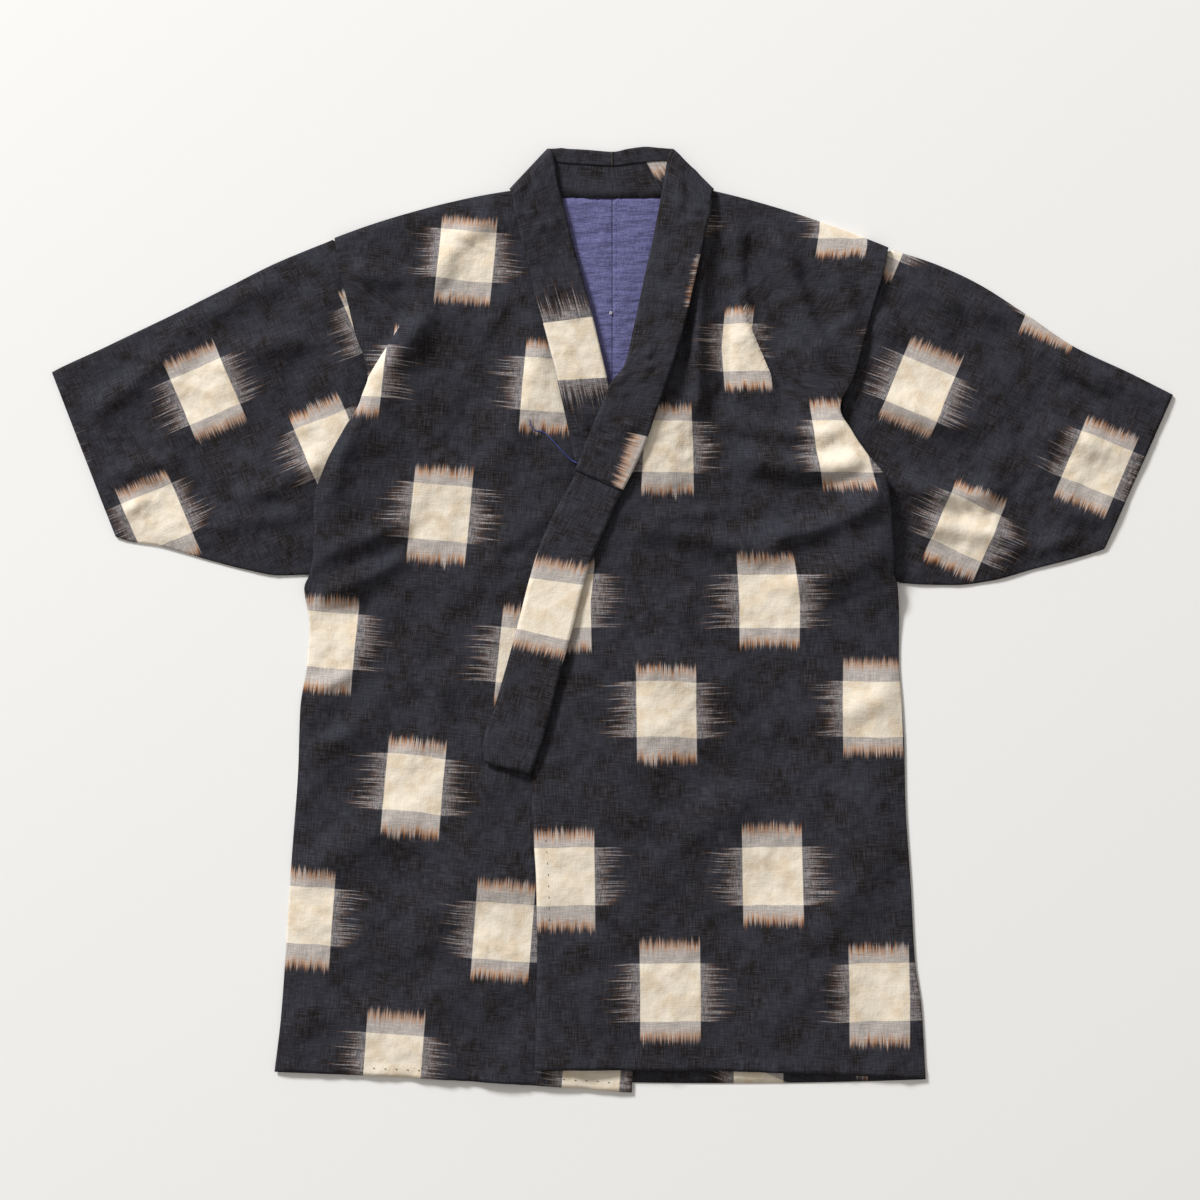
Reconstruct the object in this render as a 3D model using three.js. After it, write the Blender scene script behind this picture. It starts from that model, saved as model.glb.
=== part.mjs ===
// A short-sleeved noragi, the Japanese farm jacket, laid flat on a table with its front up.
// Millimetres, +Z up. The table is z = 0, +Y runs from the hem to the collar, and +X is the
// wearer's left. The origin is under the middle of the garment.
//
// The pieces are those that a maker cuts: two body lengths, each going from the front hem over
// the shoulder to the back hem, two sleeves, a folded collar band, the cover sewn over the collar,
// and the two halves of the yoke lining that shows in the neck. The band and its cover are each
// kept in a few stretches. Every piece is a wall of cloth whose sections are laid, one after the
// other, on what already lies on the table.
import * as THREE from "three";

// Thicknesses and clearances
const CLOTH = 1.2; // body and sleeve cloth
const LINING = 1.0; // yoke lining
const COLLAR = 1.8; // collar band, with the turnings folded inside it
const COVER = 1.0; // the cloth over the collar
const GAP = 0.35; // between pieces that touch
const EDGE_GAP = 0.8; // between the collar's free edge and the cover that turns round it
const STRETCH_GAP = 0.4; // between two stretches of the collar
const SEAM = 0.25; // half the gap of two edges that meet at a seam

// Turnings
const COLLAR_TUCK = 6; // how far a front runs in under the collar
const FOLD_TUCK = 9; // how far the armpit fold turns under
const ARMHOLE_TUCK = 53; // how far a sleeve's front runs in under the body
const ARMHOLE_FROM = 0.55; // where on the way from cuff to armhole it begins to do so
const ARMHOLE_SHAPE = 1.6; // how round that curve is
const COLLAR_END_Y = -141; // below the collar's ends the fronts have a free edge

// How finely the cloth is divided
const STEP = 27; // longest step of a body section along the length
const BACK_STEP = 60; // the same on the flat back
const COLUMNS = 12; // steps across a body length
const SLEEVE_COLUMNS = 9; // points across one layer of a sleeve
const RING_PARTS = 2; // rings of a sleeve for each row of its table
const YOKE_ROWS = 7; // steps along the yoke lining
const YOKE_COLUMNS = 4; // and across it
const COLLAR_COLUMNS = 4; // steps across the collar, the last of which is also the cover's turning
const ROLL_PARTS = 3; // steps of each half of the collar's turn at a fold
const REACH = 30; // no facet is longer, so a corner lifted over this radius clears what is below
const DROP = 0.1; // slope at which cloth comes down beside what it lies over
const DROP_REACH = 40; // how far that slope is followed
const EDGE_STEPS = [0, 3.5, 9, 18]; // first steps from a body length's side, where it may turn under
const EDGE_POINT = 4; // distance of a sleeve's first point from its fold

// The fronts. Each row is one section, from its end at the side to its end at the collar or at
// the front edge. tuck is 1 where the side end is the armpit fold, which turns under. bow lifts
// the middle of the section towards the collar.
const RIGHT_FRONT = [
  { sideX: -315, sideY: -421, midX: 18, midY: -440.8, tuck: 0, bow: 2 },
  { sideX: -314, sideY: -392, midX: 19, midY: -409, tuck: 0, bow: 1 },
  { sideX: -309, sideY: -370, midX: 20, midY: -386, tuck: 0, bow: 0 },
  { sideX: -304, sideY: -302, midX: 22, midY: -311, tuck: 0, bow: 0 },
  { sideX: -299, sideY: -223, midX: 25, midY: -230, tuck: 0, bow: 0 },
  { sideX: -293, sideY: -139, midX: 27, midY: -144, tuck: 0, bow: 0 },
  { sideX: -291, sideY: -83, midX: 14, midY: -86, tuck: 0, bow: 0 },
  { sideX: -284, sideY: -37, midX: 4, midY: -37, tuck: 0, bow: 0 },
  { sideX: -282, sideY: -4, midX: -4, midY: 0, tuck: 0, bow: 0 },
  { sideX: -287, sideY: 29, midX: -12, midY: 34, tuck: 0, bow: 0 },
  { sideX: -278, sideY: 65, midX: -20, midY: 74, tuck: 1, bow: 0 },
  { sideX: -277, sideY: 111, midX: -29, midY: 118, tuck: 1, bow: 0 },
  { sideX: -267, sideY: 144, midX: -37, midY: 150, tuck: 1, bow: 0 },
  { sideX: -250, sideY: 177, midX: -44, midY: 181, tuck: 1, bow: 0 },
  { sideX: -234, sideY: 206, midX: -50, midY: 212, tuck: 1, bow: 0 },
  { sideX: -229, sideY: 235, midX: -56, midY: 242, tuck: 0, bow: 0 },
  { sideX: -239, sideY: 265, midX: -63, midY: 270, tuck: 0, bow: 1 },
  { sideX: -247, sideY: 298, midX: -71, midY: 300, tuck: 0, bow: 2 },
  { sideX: -254, sideY: 325, midX: -80, midY: 334, tuck: 0, bow: 3 },
  { sideX: -258, sideY: 346, midX: -88, midY: 367, tuck: 0, bow: 4 },
];
const LEFT_FRONT = [
  { sideX: 292, sideY: -428, midX: -72, midY: -419, tuck: 0, bow: 3 },
  { sideX: 291, sideY: -400, midX: -71, midY: -391, tuck: 0, bow: 2 },
  { sideX: 288, sideY: -361, midX: -71, midY: -353, tuck: 0, bow: 0 },
  { sideX: 282, sideY: -318, midX: -70, midY: -307, tuck: 0, bow: 0 },
  { sideX: 278, sideY: -246, midX: -71, midY: -242, tuck: 0, bow: 0 },
  { sideX: 273, sideY: -167, midX: -75, midY: -177, tuck: 0, bow: 0 },
  { sideX: 272, sideY: -116, midX: -74, midY: -141, tuck: 0, bow: 0 },
  { sideX: 270, sideY: -79, midX: -65, midY: -111, tuck: 0, bow: 0 },
  { sideX: 267, sideY: -37, midX: -54, midY: -71, tuck: 0, bow: 0 },
  { sideX: 267, sideY: 0, midX: -43, midY: -31, tuck: 0, bow: 0 },
  { sideX: 265, sideY: 32, midX: -33, midY: 13, tuck: 0, bow: 0 },
  { sideX: 261, sideY: 70, midX: -21, midY: 50, tuck: 1, bow: 0 },
  { sideX: 258, sideY: 107, midX: -7, midY: 84, tuck: 1, bow: 0 },
  { sideX: 255, sideY: 130, midX: 11, midY: 118, tuck: 1, bow: 0 },
  { sideX: 237, sideY: 154, midX: 24, midY: 149, tuck: 1, bow: 0 },
  { sideX: 223, sideY: 175, midX: 35, midY: 177, tuck: 1, bow: 0 },
  { sideX: 214, sideY: 196, midX: 43, midY: 200, tuck: 0, bow: 0 },
  { sideX: 225, sideY: 228, midX: 55, midY: 238, tuck: 0, bow: 0 },
  { sideX: 234, sideY: 261, midX: 65, midY: 271, tuck: 0, bow: 0 },
  { sideX: 243, sideY: 293, midX: 72, midY: 300, tuck: 0, bow: 1 },
  { sideX: 251, sideY: 320, midX: 80, midY: 333, tuck: 0, bow: 2 },
  { sideX: 255, sideY: 337, midX: 89, midY: 368, tuck: 0, bow: 3 },
];
// The shoulder folds, from the armhole to the neck
const RIGHT_SHOULDER = { sideX: -259, sideY: 356, midX: -95, midY: 400, bow: 5 };
const LEFT_SHOULDER = { sideX: 257, sideY: 347, midX: 94, midY: 400, bow: 4 };

// The backs, from just under the shoulder fold to the hem. The middle end follows the back of
// the neck, then the centre seam at x = 0.
const RIGHT_BACK = [
  { sideX: -259, sideY: 342, midX: -70, midY: 393, bow: 4 },
  { sideX: -260, sideY: 327, midX: -38, midY: 391, bow: 3 },
  { sideX: -261, sideY: 308, midX: 0, midY: 391, bow: 1 },
  { sideX: -264, sideY: 262, midX: 0, midY: 335, bow: 0 },
  { sideX: -279, sideY: 46, midX: 0, midY: 60, bow: 0 },
  { sideX: -284, sideY: 20, midX: 0, midY: 22, bow: 0 },
  { sideX: -281, sideY: -20, midX: 0, midY: -20, bow: 0 },
  { sideX: -289, sideY: -84, midX: 0, midY: -84, bow: 0 },
  { sideX: -302, sideY: -302, midX: 0, midY: -311, bow: 0 },
  { sideX: -312, sideY: -392, midX: 0, midY: -402, bow: 0 },
  { sideX: -313, sideY: -419, midX: 0, midY: -431, bow: 0 },
];
const LEFT_BACK = [
  { sideX: 257.5, sideY: 333, midX: 70, midY: 393, bow: 4 },
  { sideX: 258, sideY: 320, midX: 38, midY: 391, bow: 3 },
  { sideX: 258.5, sideY: 303, midX: 0, midY: 391, bow: 1 },
  { sideX: 259.5, sideY: 262, midX: 0, midY: 335, bow: 0 },
  { sideX: 265.5, sideY: 38, midX: 0, midY: 50, bow: 0 },
  { sideX: 263, sideY: 20, midX: 0, midY: 22, bow: 0 },
  { sideX: 265, sideY: -37, midX: 0, midY: -37, bow: 0 },
  { sideX: 270, sideY: -116, midX: 0, midY: -116, bow: 0 },
  { sideX: 280, sideY: -318, midX: 0, midY: -320, bow: 0 },
  { sideX: 286, sideY: -361, midX: 0, midY: -366, bow: 0 },
  { sideX: 290, sideY: -428.5, midX: 0, midY: -431, bow: -2 },
];

// The sleeves, from the cuff to the armhole: each row is one ring, laid flat between the fold at
// its top and the seam under the arm.
const RIGHT_SLEEVE = [
  { topX: -523, topY: 231, lowX: -463, lowY: 77 },
  { topX: -500, topY: 242, lowX: -441, lowY: 71.5 },
  { topX: -453, topY: 264, lowX: -410, lowY: 66 },
  { topX: -407, topY: 286, lowX: -375, lowY: 55 },
  { topX: -360, topY: 309, lowX: -342, lowY: 46.5 },
  { topX: -314, topY: 332, lowX: -311, lowY: 41 },
  { topX: -260.5, topY: 355, lowX: -280, lowY: 42 },
];
const LEFT_SLEEVE = [
  { topX: 523, topY: 210, lowX: 458, lowY: 66 },
  { topX: 483, topY: 230, lowX: 428, lowY: 56 },
  { topX: 431, topY: 254, lowX: 393, lowY: 47 },
  { topX: 384, topY: 286, lowX: 353, lowY: 36 },
  { topX: 338, topY: 315, lowX: 319, lowY: 32 },
  { topX: 298, topY: 333, lowX: 290, lowY: 33 },
  { topX: 259.3, topY: 346, lowX: 267, lowY: 34 },
];

// The collar band, from its end on the wearer's left front, up round the neck and down to its
// end on the right. seam is the edge sewn to the body, free is the other edge. roll is the turn
// of the band about its length, in degrees: the outer face is up on the fronts and down behind
// the neck, and the band turns over at the two folds.
const COLLAR_BAND = [
  { seamX: -76, seamY: -143, freeX: -118, freeY: -133, roll: 0 },
  { seamX: -70, seamY: -127, freeX: -120, freeY: -117, roll: 0 },
  { seamX: -60, seamY: -95, freeX: -108, freeY: -77, roll: 0 },
  { seamX: -49, seamY: -52, freeX: -97, freeY: -39, roll: 0 },
  { seamX: -38, seamY: -12, freeX: -87, freeY: -2, roll: 0 },
  { seamX: -27, seamY: 31, freeX: -77, freeY: 37, roll: 0 },
  { seamX: -19, seamY: 57, freeX: -68, freeY: 67, roll: 0 },
  { seamX: -8, seamY: 82, freeX: -54, freeY: 99, roll: 0 },
  { seamX: 8, seamY: 117, freeX: -34, freeY: 136, roll: 0 },
  { seamX: 19, seamY: 138, freeX: -26, freeY: 156, roll: 0 },
  { seamX: 31, seamY: 165, freeX: -17, freeY: 178, roll: 0 },
  { seamX: 43, seamY: 200, freeX: -6, freeY: 204, roll: 0 },
  { seamX: 51, seamY: 223, freeX: 0, freeY: 219, roll: 0 },
  { seamX: 56, seamY: 238, freeX: 13, freeY: 236, roll: 0 },
  { seamX: 66, seamY: 271, freeX: 22, freeY: 272, roll: 0 },
  { seamX: 77, seamY: 319, freeX: 32, freeY: 319, roll: 0 },
  { seamX: 86, seamY: 358, freeX: 41, freeY: 360, roll: 0 },
  { seamX: 92, seamY: 385, freeX: 49, freeY: 403, roll: 0 },
  { seamX: 92, seamY: 395, freeX: 54, freeY: 431, roll: 0 },
  { seamX: 94.5, seamY: 401, freeX: 58, freeY: 438, roll: 90 },
  { seamX: 86, seamY: 400, freeX: 48, freeY: 438, roll: 180 },
  { seamX: 63, seamY: 394, freeX: 33, freeY: 439, roll: 180 },
  { seamX: 35, seamY: 392, freeX: 16, freeY: 437, roll: 180 },
  { seamX: 0, seamY: 391.6, freeX: 0, freeY: 434, roll: 180 },
  { seamX: -35, seamY: 392, freeX: -26, freeY: 436, roll: 180 },
  { seamX: -63, seamY: 394, freeX: -43, freeY: 437, roll: 180 },
  { seamX: -86, seamY: 400, freeX: -50, freeY: 438, roll: 180 },
  { seamX: -95.5, seamY: 401, freeX: -61, freeY: 438, roll: 90 },
  { seamX: -93, seamY: 394, freeX: -57, freeY: 431, roll: 0 },
  { seamX: -92, seamY: 384, freeX: -53, freeY: 406, roll: 0 },
  { seamX: -87, seamY: 363, freeX: -46, freeY: 379, roll: 0 },
  { seamX: -79, seamY: 333, freeX: -38, freeY: 346, roll: 0 },
  { seamX: -71, seamY: 299, freeX: -28, freeY: 310, roll: 0 },
  { seamX: -63, seamY: 270, freeX: -19, freeY: 275, roll: 0 },
  { seamX: -53, seamY: 230, freeX: -9, freeY: 233, roll: 0 },
  { seamX: -43, seamY: 186, freeX: 1, freeY: 190, roll: 0 },
  { seamX: -34, seamY: 144, freeX: 10, freeY: 149, roll: 0 },
  { seamX: -19, seamY: 79, freeX: 25, freeY: 85, roll: 0 },
  { seamX: -2, seamY: 0, freeX: 42, freeY: 7, roll: 0 },
  { seamX: 13, seamY: -74, freeX: 57, freeY: -67, roll: 0 },
  { seamX: 27, seamY: -141, freeX: 70, freeY: -134, roll: 0 },
];
// The band is one strip, and so is its cover. Their solids are kept in stretches, between two rows
// of the table, so that no solid bends round the neck.
const STRETCHES = [
  { name: "collar_left_end", cut: "band", from: 0, to: 12 },
  { name: "collar_left_neck", cut: "band", from: 12, to: 19 },
  { name: "collar_back", cut: "band", from: 19, to: 27 },
  { name: "collar_right_neck", cut: "band", from: 27, to: 34 },
  { name: "collar_right_end", cut: "band", from: 34, to: 40 },
  { name: "collar_cover_left_end", cut: "cover", from: 8, to: 12 },
  { name: "collar_cover_left_neck", cut: "cover", from: 12, to: 19 },
  { name: "collar_cover_back", cut: "cover", from: 19, to: 27 },
  { name: "collar_cover_right", cut: "cover", from: 27, to: 36 },
];

// The yoke lining, as wide and as deep as what shows of it and a little more
const YOKE = { top: 390.5, low: 196, topHalf: 66, lowHalf: 40, lift: 0.6 };

// The largest folds, each a soft ridge along a line that dies away at both ends
const RIDGES = [
  { on: "right", fromX: -105, fromY: 388, toX: -232, toY: 215, width: 24, height: 6 },
  { on: "right", fromX: -232, fromY: 215, toX: -268, toY: 95, width: 26, height: 6 },
  { on: "right", fromX: -60, fromY: 300, toX: -120, toY: 120, width: 26, height: 2.5 },
  { on: "right", fromX: -250, fromY: 40, toX: -120, toY: 90, width: 26, height: 3 },
  { on: "right", fromX: -230, fromY: -330, toX: -150, toY: -180, width: 28, height: 2.5 },
  { on: "left", fromX: 100, fromY: 380, toX: 58, toY: 190, width: 16, height: 4 },
  { on: "left", fromX: 125, fromY: 385, toX: 215, toY: 200, width: 26, height: 5 },
  { on: "left", fromX: 150, fromY: 215, toX: 250, toY: 110, width: 26, height: 6 },
  { on: "left", fromX: 5, fromY: 70, toX: 235, toY: 95, width: 26, height: 6 },
  { on: "left", fromX: 60, fromY: -260, toX: 180, toY: -120, width: 30, height: 2 },
  { on: "rightSleeve", fromX: -300, fromY: 300, toX: -460, toY: 215, width: 26, height: 3 },
  { on: "rightSleeve", fromX: -260, fromY: 120, toX: -420, toY: 100, width: 28, height: 3 },
  { on: "leftSleeve", fromX: 280, fromY: 290, toX: 470, toY: 190, width: 26, height: 3 },
  { on: "leftSleeve", fromX: 300, fromY: 90, toX: 430, toY: 120, width: 26, height: 5 },
];
const PUFF = { right: 1.2, left: 1.2, rightSleeve: 1.4, leftSleeve: 1.6 }; // loft of each layer
const EDGE_FALL = 14; // how far from an edge the cloth has risen to its full loft
const FOLD_RISE = (CLOTH + GAP) * 1.25; // how much higher the cloth lies over a turned edge
const FOLD_FROM = 20; // where it begins to come down again
const FOLD_RUN = 40; // and over what length

// Small helpers
const mix = (a, b, t) => a + (b - a) * t;
const smooth = (t) => {
  const s = Math.min(1, Math.max(0, t));
  return s * s * (3 - 2 * s);
};

// Height of the soft relief of one layer at a point
function relief(layer, x, y) {
  let height = PUFF[layer];
  for (const ridge of RIDGES.filter((r) => r.on === layer)) {
    const dx = ridge.toX - ridge.fromX;
    const dy = ridge.toY - ridge.fromY;
    const length = Math.hypot(dx, dy);
    const along = ((x - ridge.fromX) * dx + (y - ridge.fromY) * dy) / length;
    const across = ((x - ridge.fromX) * dy - (y - ridge.fromY) * dx) / length;
    const start = smooth((along / ridge.width + 1) / 2);
    const end = smooth(((length - along) / ridge.width + 1) / 2);
    height += ridge.height * start * end * Math.exp(-((across / ridge.width) ** 2));
  }
  return height;
}

// What already lies on the table, as a grid of heights
const PILE_CELL = 5;
const PILE_X = 540;
const PILE_Y = 460;
const pileColumns = Math.ceil((2 * PILE_X) / PILE_CELL);
const pileRows = Math.ceil((2 * PILE_Y) / PILE_CELL);
const pile = new Float32Array(pileColumns * pileRows);

// The lowest height at which a facet's corner clears everything below its facets
function restingHeight(x, y) {
  const far = REACH + DROP_REACH;
  const steps = Math.ceil(far / PILE_CELL);
  const column = Math.floor((x + PILE_X) / PILE_CELL);
  const row = Math.floor((y + PILE_Y) / PILE_CELL);
  let height = 0;
  for (let j = -steps; j <= steps; j += 1) {
    for (let i = -steps; i <= steps; i += 1) {
      const distance = Math.hypot(i, j) * PILE_CELL;
      const inside = column + i >= 0 && column + i < pileColumns && row + j >= 0 && row + j < pileRows;
      if (distance > far || !inside) continue;
      const below = pile[(row + j) * pileColumns + column + i];
      height = Math.max(height, below - DROP * Math.max(0, distance - REACH));
    }
  }
  return height;
}

// Lays a grid of upper-face points on the pile
function layOnPile(grid) {
  for (let r = 0; r + 1 < grid.length; r += 1) {
    for (let c = 0; c + 1 < grid[r].length; c += 1) {
      const corners = [grid[r][c], grid[r][c + 1], grid[r + 1][c], grid[r + 1][c + 1]];
      const top = Math.max(...corners.map((p) => p.z));
      const columns = corners.map((p) => Math.floor((p.x + PILE_X) / PILE_CELL));
      const rows = corners.map((p) => Math.floor((p.y + PILE_Y) / PILE_CELL));
      for (let row = Math.min(...rows); row <= Math.max(...rows); row += 1) {
        for (let column = Math.min(...columns); column <= Math.max(...columns); column += 1) {
          const cell = row * pileColumns + column;
          pile[cell] = Math.max(pile[cell], top);
        }
      }
    }
  }
}

// A closed wall between two grids of points: outer is the cloth's face, inner its wrong side.
// ring closes each section on itself, as in a sleeve.
function wall(outer, inner, ring = false) {
  const rows = outer.length;
  const columns = outer[0].length;
  const points = [...outer.flat(), ...inner.flat()];
  const face = (r, c) => r * columns + (c % columns);
  const back = (r, c) => rows * columns + face(r, c);
  const index = [];
  const quad = (a, b, c, d) => index.push(a, b, c, a, c, d);
  const last = ring ? columns : columns - 1;
  for (let r = 0; r + 1 < rows; r += 1) {
    for (let c = 0; c < last; c += 1) {
      quad(face(r, c), face(r, c + 1), face(r + 1, c + 1), face(r + 1, c));
      quad(back(r, c), back(r + 1, c), back(r + 1, c + 1), back(r, c + 1));
    }
  }
  for (let c = 0; c < last; c += 1) {
    quad(face(0, c), back(0, c), back(0, c + 1), face(0, c + 1));
    quad(face(rows - 1, c), face(rows - 1, c + 1), back(rows - 1, c + 1), back(rows - 1, c));
  }
  for (let r = 0; r + 1 < rows && !ring; r += 1) {
    quad(face(r, 0), face(r + 1, 0), back(r + 1, 0), back(r, 0));
    quad(face(r, last), back(r, last), back(r + 1, last), face(r + 1, last));
  }
  const geometry = new THREE.BufferGeometry();
  const numbers = points.flatMap((p) => p.toArray());
  geometry.setAttribute("position", new THREE.Float32BufferAttribute(numbers, 3));
  geometry.setIndex(index);
  if (signedVolume(geometry) < 0) {
    geometry.setIndex(index.reverse());
  }
  geometry.computeVertexNormals();
  return geometry;
}

function signedVolume(geometry) {
  const p = geometry.getAttribute("position");
  const index = geometry.getIndex().array;
  const [a, b, c] = [new THREE.Vector3(), new THREE.Vector3(), new THREE.Vector3()];
  let six = 0;
  for (let i = 0; i < index.length; i += 3) {
    a.fromBufferAttribute(p, index[i]);
    b.fromBufferAttribute(p, index[i + 1]);
    c.fromBufferAttribute(p, index[i + 2]);
    six += a.dot(b.cross(c));
  }
  return six / 6;
}

// Adds sections between those of a table, so that no step is longer than the one given
function refine(table, step) {
  const sections = [];
  for (let i = 0; i + 1 < table.length; i += 1) {
    const [a, b] = [table[i], table[i + 1]];
    const side = Math.hypot(b.sideX - a.sideX, b.sideY - a.sideY);
    const middle = Math.hypot(b.midX - a.midX, b.midY - a.midY);
    const parts = Math.max(1, Math.ceil(Math.max(side, middle) / step));
    for (let k = 0; k < parts; k += 1) {
      const t = k / parts;
      sections.push({
        sideX: mix(a.sideX, b.sideX, t),
        sideY: mix(a.sideY, b.sideY, t),
        midX: mix(a.midX, b.midX, t),
        midY: mix(a.midY, b.midY, t),
        bow: mix(a.bow, b.bow, t),
        tuck: t === 0 ? a.tuck : Math.min(a.tuck, b.tuck),
      });
    }
  }
  return [...sections, table[table.length - 1]];
}

// Distances of a section's points from its side end: close together where the edge turns
function spacing(length) {
  const last = EDGE_STEPS[EDGE_STEPS.length - 1];
  const rest = COLUMNS - EDGE_STEPS.length + 1;
  const even = Array.from({ length: rest }, (_, i) => mix(last, length, (i + 1) / rest));
  return [...EDGE_STEPS, ...even];
}

// The plan points of a section
function planOf(section, extra = 0) {
  const dx = section.midX - section.sideX;
  const dy = section.midY - section.sideY;
  const length = Math.hypot(dx, dy);
  return spacing(length + extra).map((distance) => {
    const t = distance / length;
    const bow = section.bow * 4 * t * Math.max(0, 1 - t);
    const [x, y] = [section.sideX + dx * t, section.sideY + dy * t + bow];
    return { x, y, distance, left: length + extra - distance };
  });
}

// The back of a body length, flat on the table. Its outer face is below.
function backSections(table, side) {
  return refine(table, BACK_STEP).map((section) => {
    const seam = { ...section, midX: section.midX + side * SEAM, sideX: section.sideX - side * SEAM };
    return planOf(seam).map(({ x, y }) => ({
      outer: new THREE.Vector3(x, y, 0),
      inner: new THREE.Vector3(x, y, CLOTH),
    }));
  });
}

// The front of a body length, draped on the pile. Its outer face is above.
function frontSections(table, layer) {
  return refine(table, STEP).map((section) => {
    const plan = planOf(section, section.midY > COLLAR_END_Y ? COLLAR_TUCK : 0);
    const [dx, dy] = [section.midX - section.sideX, section.midY - section.sideY];
    const inward = new THREE.Vector2(dx, dy).normalize();
    return plan.map(({ x, y, distance, left }, column) => {
      const bed = restingHeight(x, y) + GAP;
      const loft = 1 - Math.exp(-Math.min(distance, left) / EDGE_FALL);
      const turned = section.tuck ? FOLD_RISE * (1 - smooth((distance - FOLD_FROM) / FOLD_RUN)) : 0;
      const z = bed + relief(layer, x, y) * loft + turned;
      if (section.tuck && column === 0) {
        const under = new THREE.Vector3(x + inward.x * FOLD_TUCK, y + inward.y * FOLD_TUCK, bed);
        return { outer: under, inner: under.clone().setZ(bed + CLOTH) };
      }
      if (section.tuck && column === 1) {
        const edge = new THREE.Vector3(section.sideX, section.sideY, bed + CLOTH + GAP);
        const inside = new THREE.Vector3(edge.x + inward.x * CLOTH, edge.y + inward.y * CLOTH, edge.z);
        return { outer: edge, inner: inside };
      }
      return { outer: new THREE.Vector3(x, y, z + CLOTH), inner: new THREE.Vector3(x, y, z) };
    });
  });
}

// The shoulder fold: one section where the cloth turns from the front over to the back
function shoulderSection(shoulder, front, back) {
  const [dx, dy] = [shoulder.midX - shoulder.sideX, shoulder.midY - shoulder.sideY];
  const down = new THREE.Vector2(dy, -dx).normalize().multiplyScalar(Math.sign(dx));
  return planOf(shoulder).map(({ x, y }, column) => {
    const z = (front[column].inner.z + back[column].inner.z) / 2;
    return {
      outer: new THREE.Vector3(x, y, z),
      inner: new THREE.Vector3(x + down.x * CLOTH, y + down.y * CLOTH, z),
    };
  });
}

function bodyLength(fronts, shoulder, backs) {
  const fold = shoulderSection(shoulder, fronts[fronts.length - 1], backs[0]);
  const sections = [...fronts, fold, ...backs];
  return wall(
    sections.map((section) => section.map((p) => p.outer)),
    sections.map((section) => section.map((p) => p.inner)),
  );
}

// The plan points of one layer of a sleeve ring: even steps, with one close to each folded edge
function sleevePlan(ring, bulge) {
  const length = Math.hypot(ring.lowX - ring.topX, ring.lowY - ring.topY);
  const near = EDGE_POINT / length;
  return Array.from({ length: SLEEVE_COLUMNS }, (_, i) => {
    const t = mix(near, 1 - near, i / (SLEEVE_COLUMNS - 1));
    return {
      x: mix(ring.topX, ring.lowX, t) + bulge * Math.sin(Math.PI * t) ** ARMHOLE_SHAPE,
      y: mix(ring.topY, ring.lowY, t),
      loft: 1 - Math.exp(-(Math.min(t, 1 - t) * length) / EDGE_FALL),
    };
  });
}

// One ring of a sleeve: its back layer on the table, its front layer over it
function sleeveRing(ring, layer, bulge) {
  const down = new THREE.Vector2(ring.lowX - ring.topX, ring.lowY - ring.topY).normalize();
  const front = sleevePlan(ring, bulge).map(({ x, y, loft }) => {
    const low = Math.max(CLOTH, restingHeight(x, y)) + GAP + relief(layer, x, y) * loft;
    return { outer: new THREE.Vector3(x, y, low + CLOTH), inner: new THREE.Vector3(x, y, low) };
  });
  const back = sleevePlan(ring, 0).map(({ x, y }) => ({
    outer: new THREE.Vector3(x, y, 0),
    inner: new THREE.Vector3(x, y, CLOTH),
  }));
  const middle = CLOTH + GAP / 2;
  const turn = (x, y, sign) => ({
    outer: new THREE.Vector3(x, y, middle),
    inner: new THREE.Vector3(x + sign * down.x * CLOTH, y + sign * down.y * CLOTH, middle),
  });
  return [turn(ring.topX, ring.topY, 1), ...front, turn(ring.lowX, ring.lowY, -1), ...back.reverse()];
}

// A sleeve: a tube of such rings. side is the sign of its X.
function sleeve(table, layer, side) {
  const keys = Object.keys(table[0]);
  const count = (table.length - 1) * RING_PARTS;
  const rings = Array.from({ length: count + 1 }, (_, k) => {
    const i = Math.min(Math.floor(k / RING_PARTS), table.length - 2);
    const t = k / RING_PARTS - i;
    const ring = Object.fromEntries(keys.map((key) => [key, mix(table[i][key], table[i + 1][key], t)]));
    const bulge = -side * ARMHOLE_TUCK * smooth((k / count - ARMHOLE_FROM) / (1 - ARMHOLE_FROM));
    return sleeveRing(ring, layer, bulge);
  });
  const geometry = wall(
    rings.map((ring) => ring.map((p) => p.outer)),
    rings.map((ring) => ring.map((p) => p.inner)),
    true,
  );
  return { geometry, tops: rings.map((ring) => ring.slice(1, SLEEVE_COLUMNS + 1).map((p) => p.outer)) };
}

// One half of the yoke lining, on the back
function yokeHalf(side) {
  const lower = [];
  const upper = [];
  for (let r = 0; r <= YOKE_ROWS; r += 1) {
    const share = r / YOKE_ROWS;
    const y = mix(YOKE.top, YOKE.low, share);
    const half = mix(YOKE.topHalf, YOKE.lowHalf, share);
    const points = Array.from({ length: YOKE_COLUMNS + 1 }, (_, c) => {
      const t = c / YOKE_COLUMNS;
      const lift = YOKE.lift * Math.sin(Math.PI * t) * Math.sin(Math.PI * share);
      return new THREE.Vector3(side * mix(SEAM, half, t), y, CLOTH + GAP + lift);
    });
    lower.push(points);
    upper.push(points.map((p) => new THREE.Vector3(p.x, p.y, p.z + LINING)));
  }
  return { geometry: wall(upper, lower), upper };
}

// The middle of the band, above the height on which its cover rests, and the cover's face from it
const MIDDLE = COVER + GAP + COLLAR / 2;
const OUTERMOST = COLLAR / 2 + GAP + COVER; // the face that stays on a fold's own line

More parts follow.
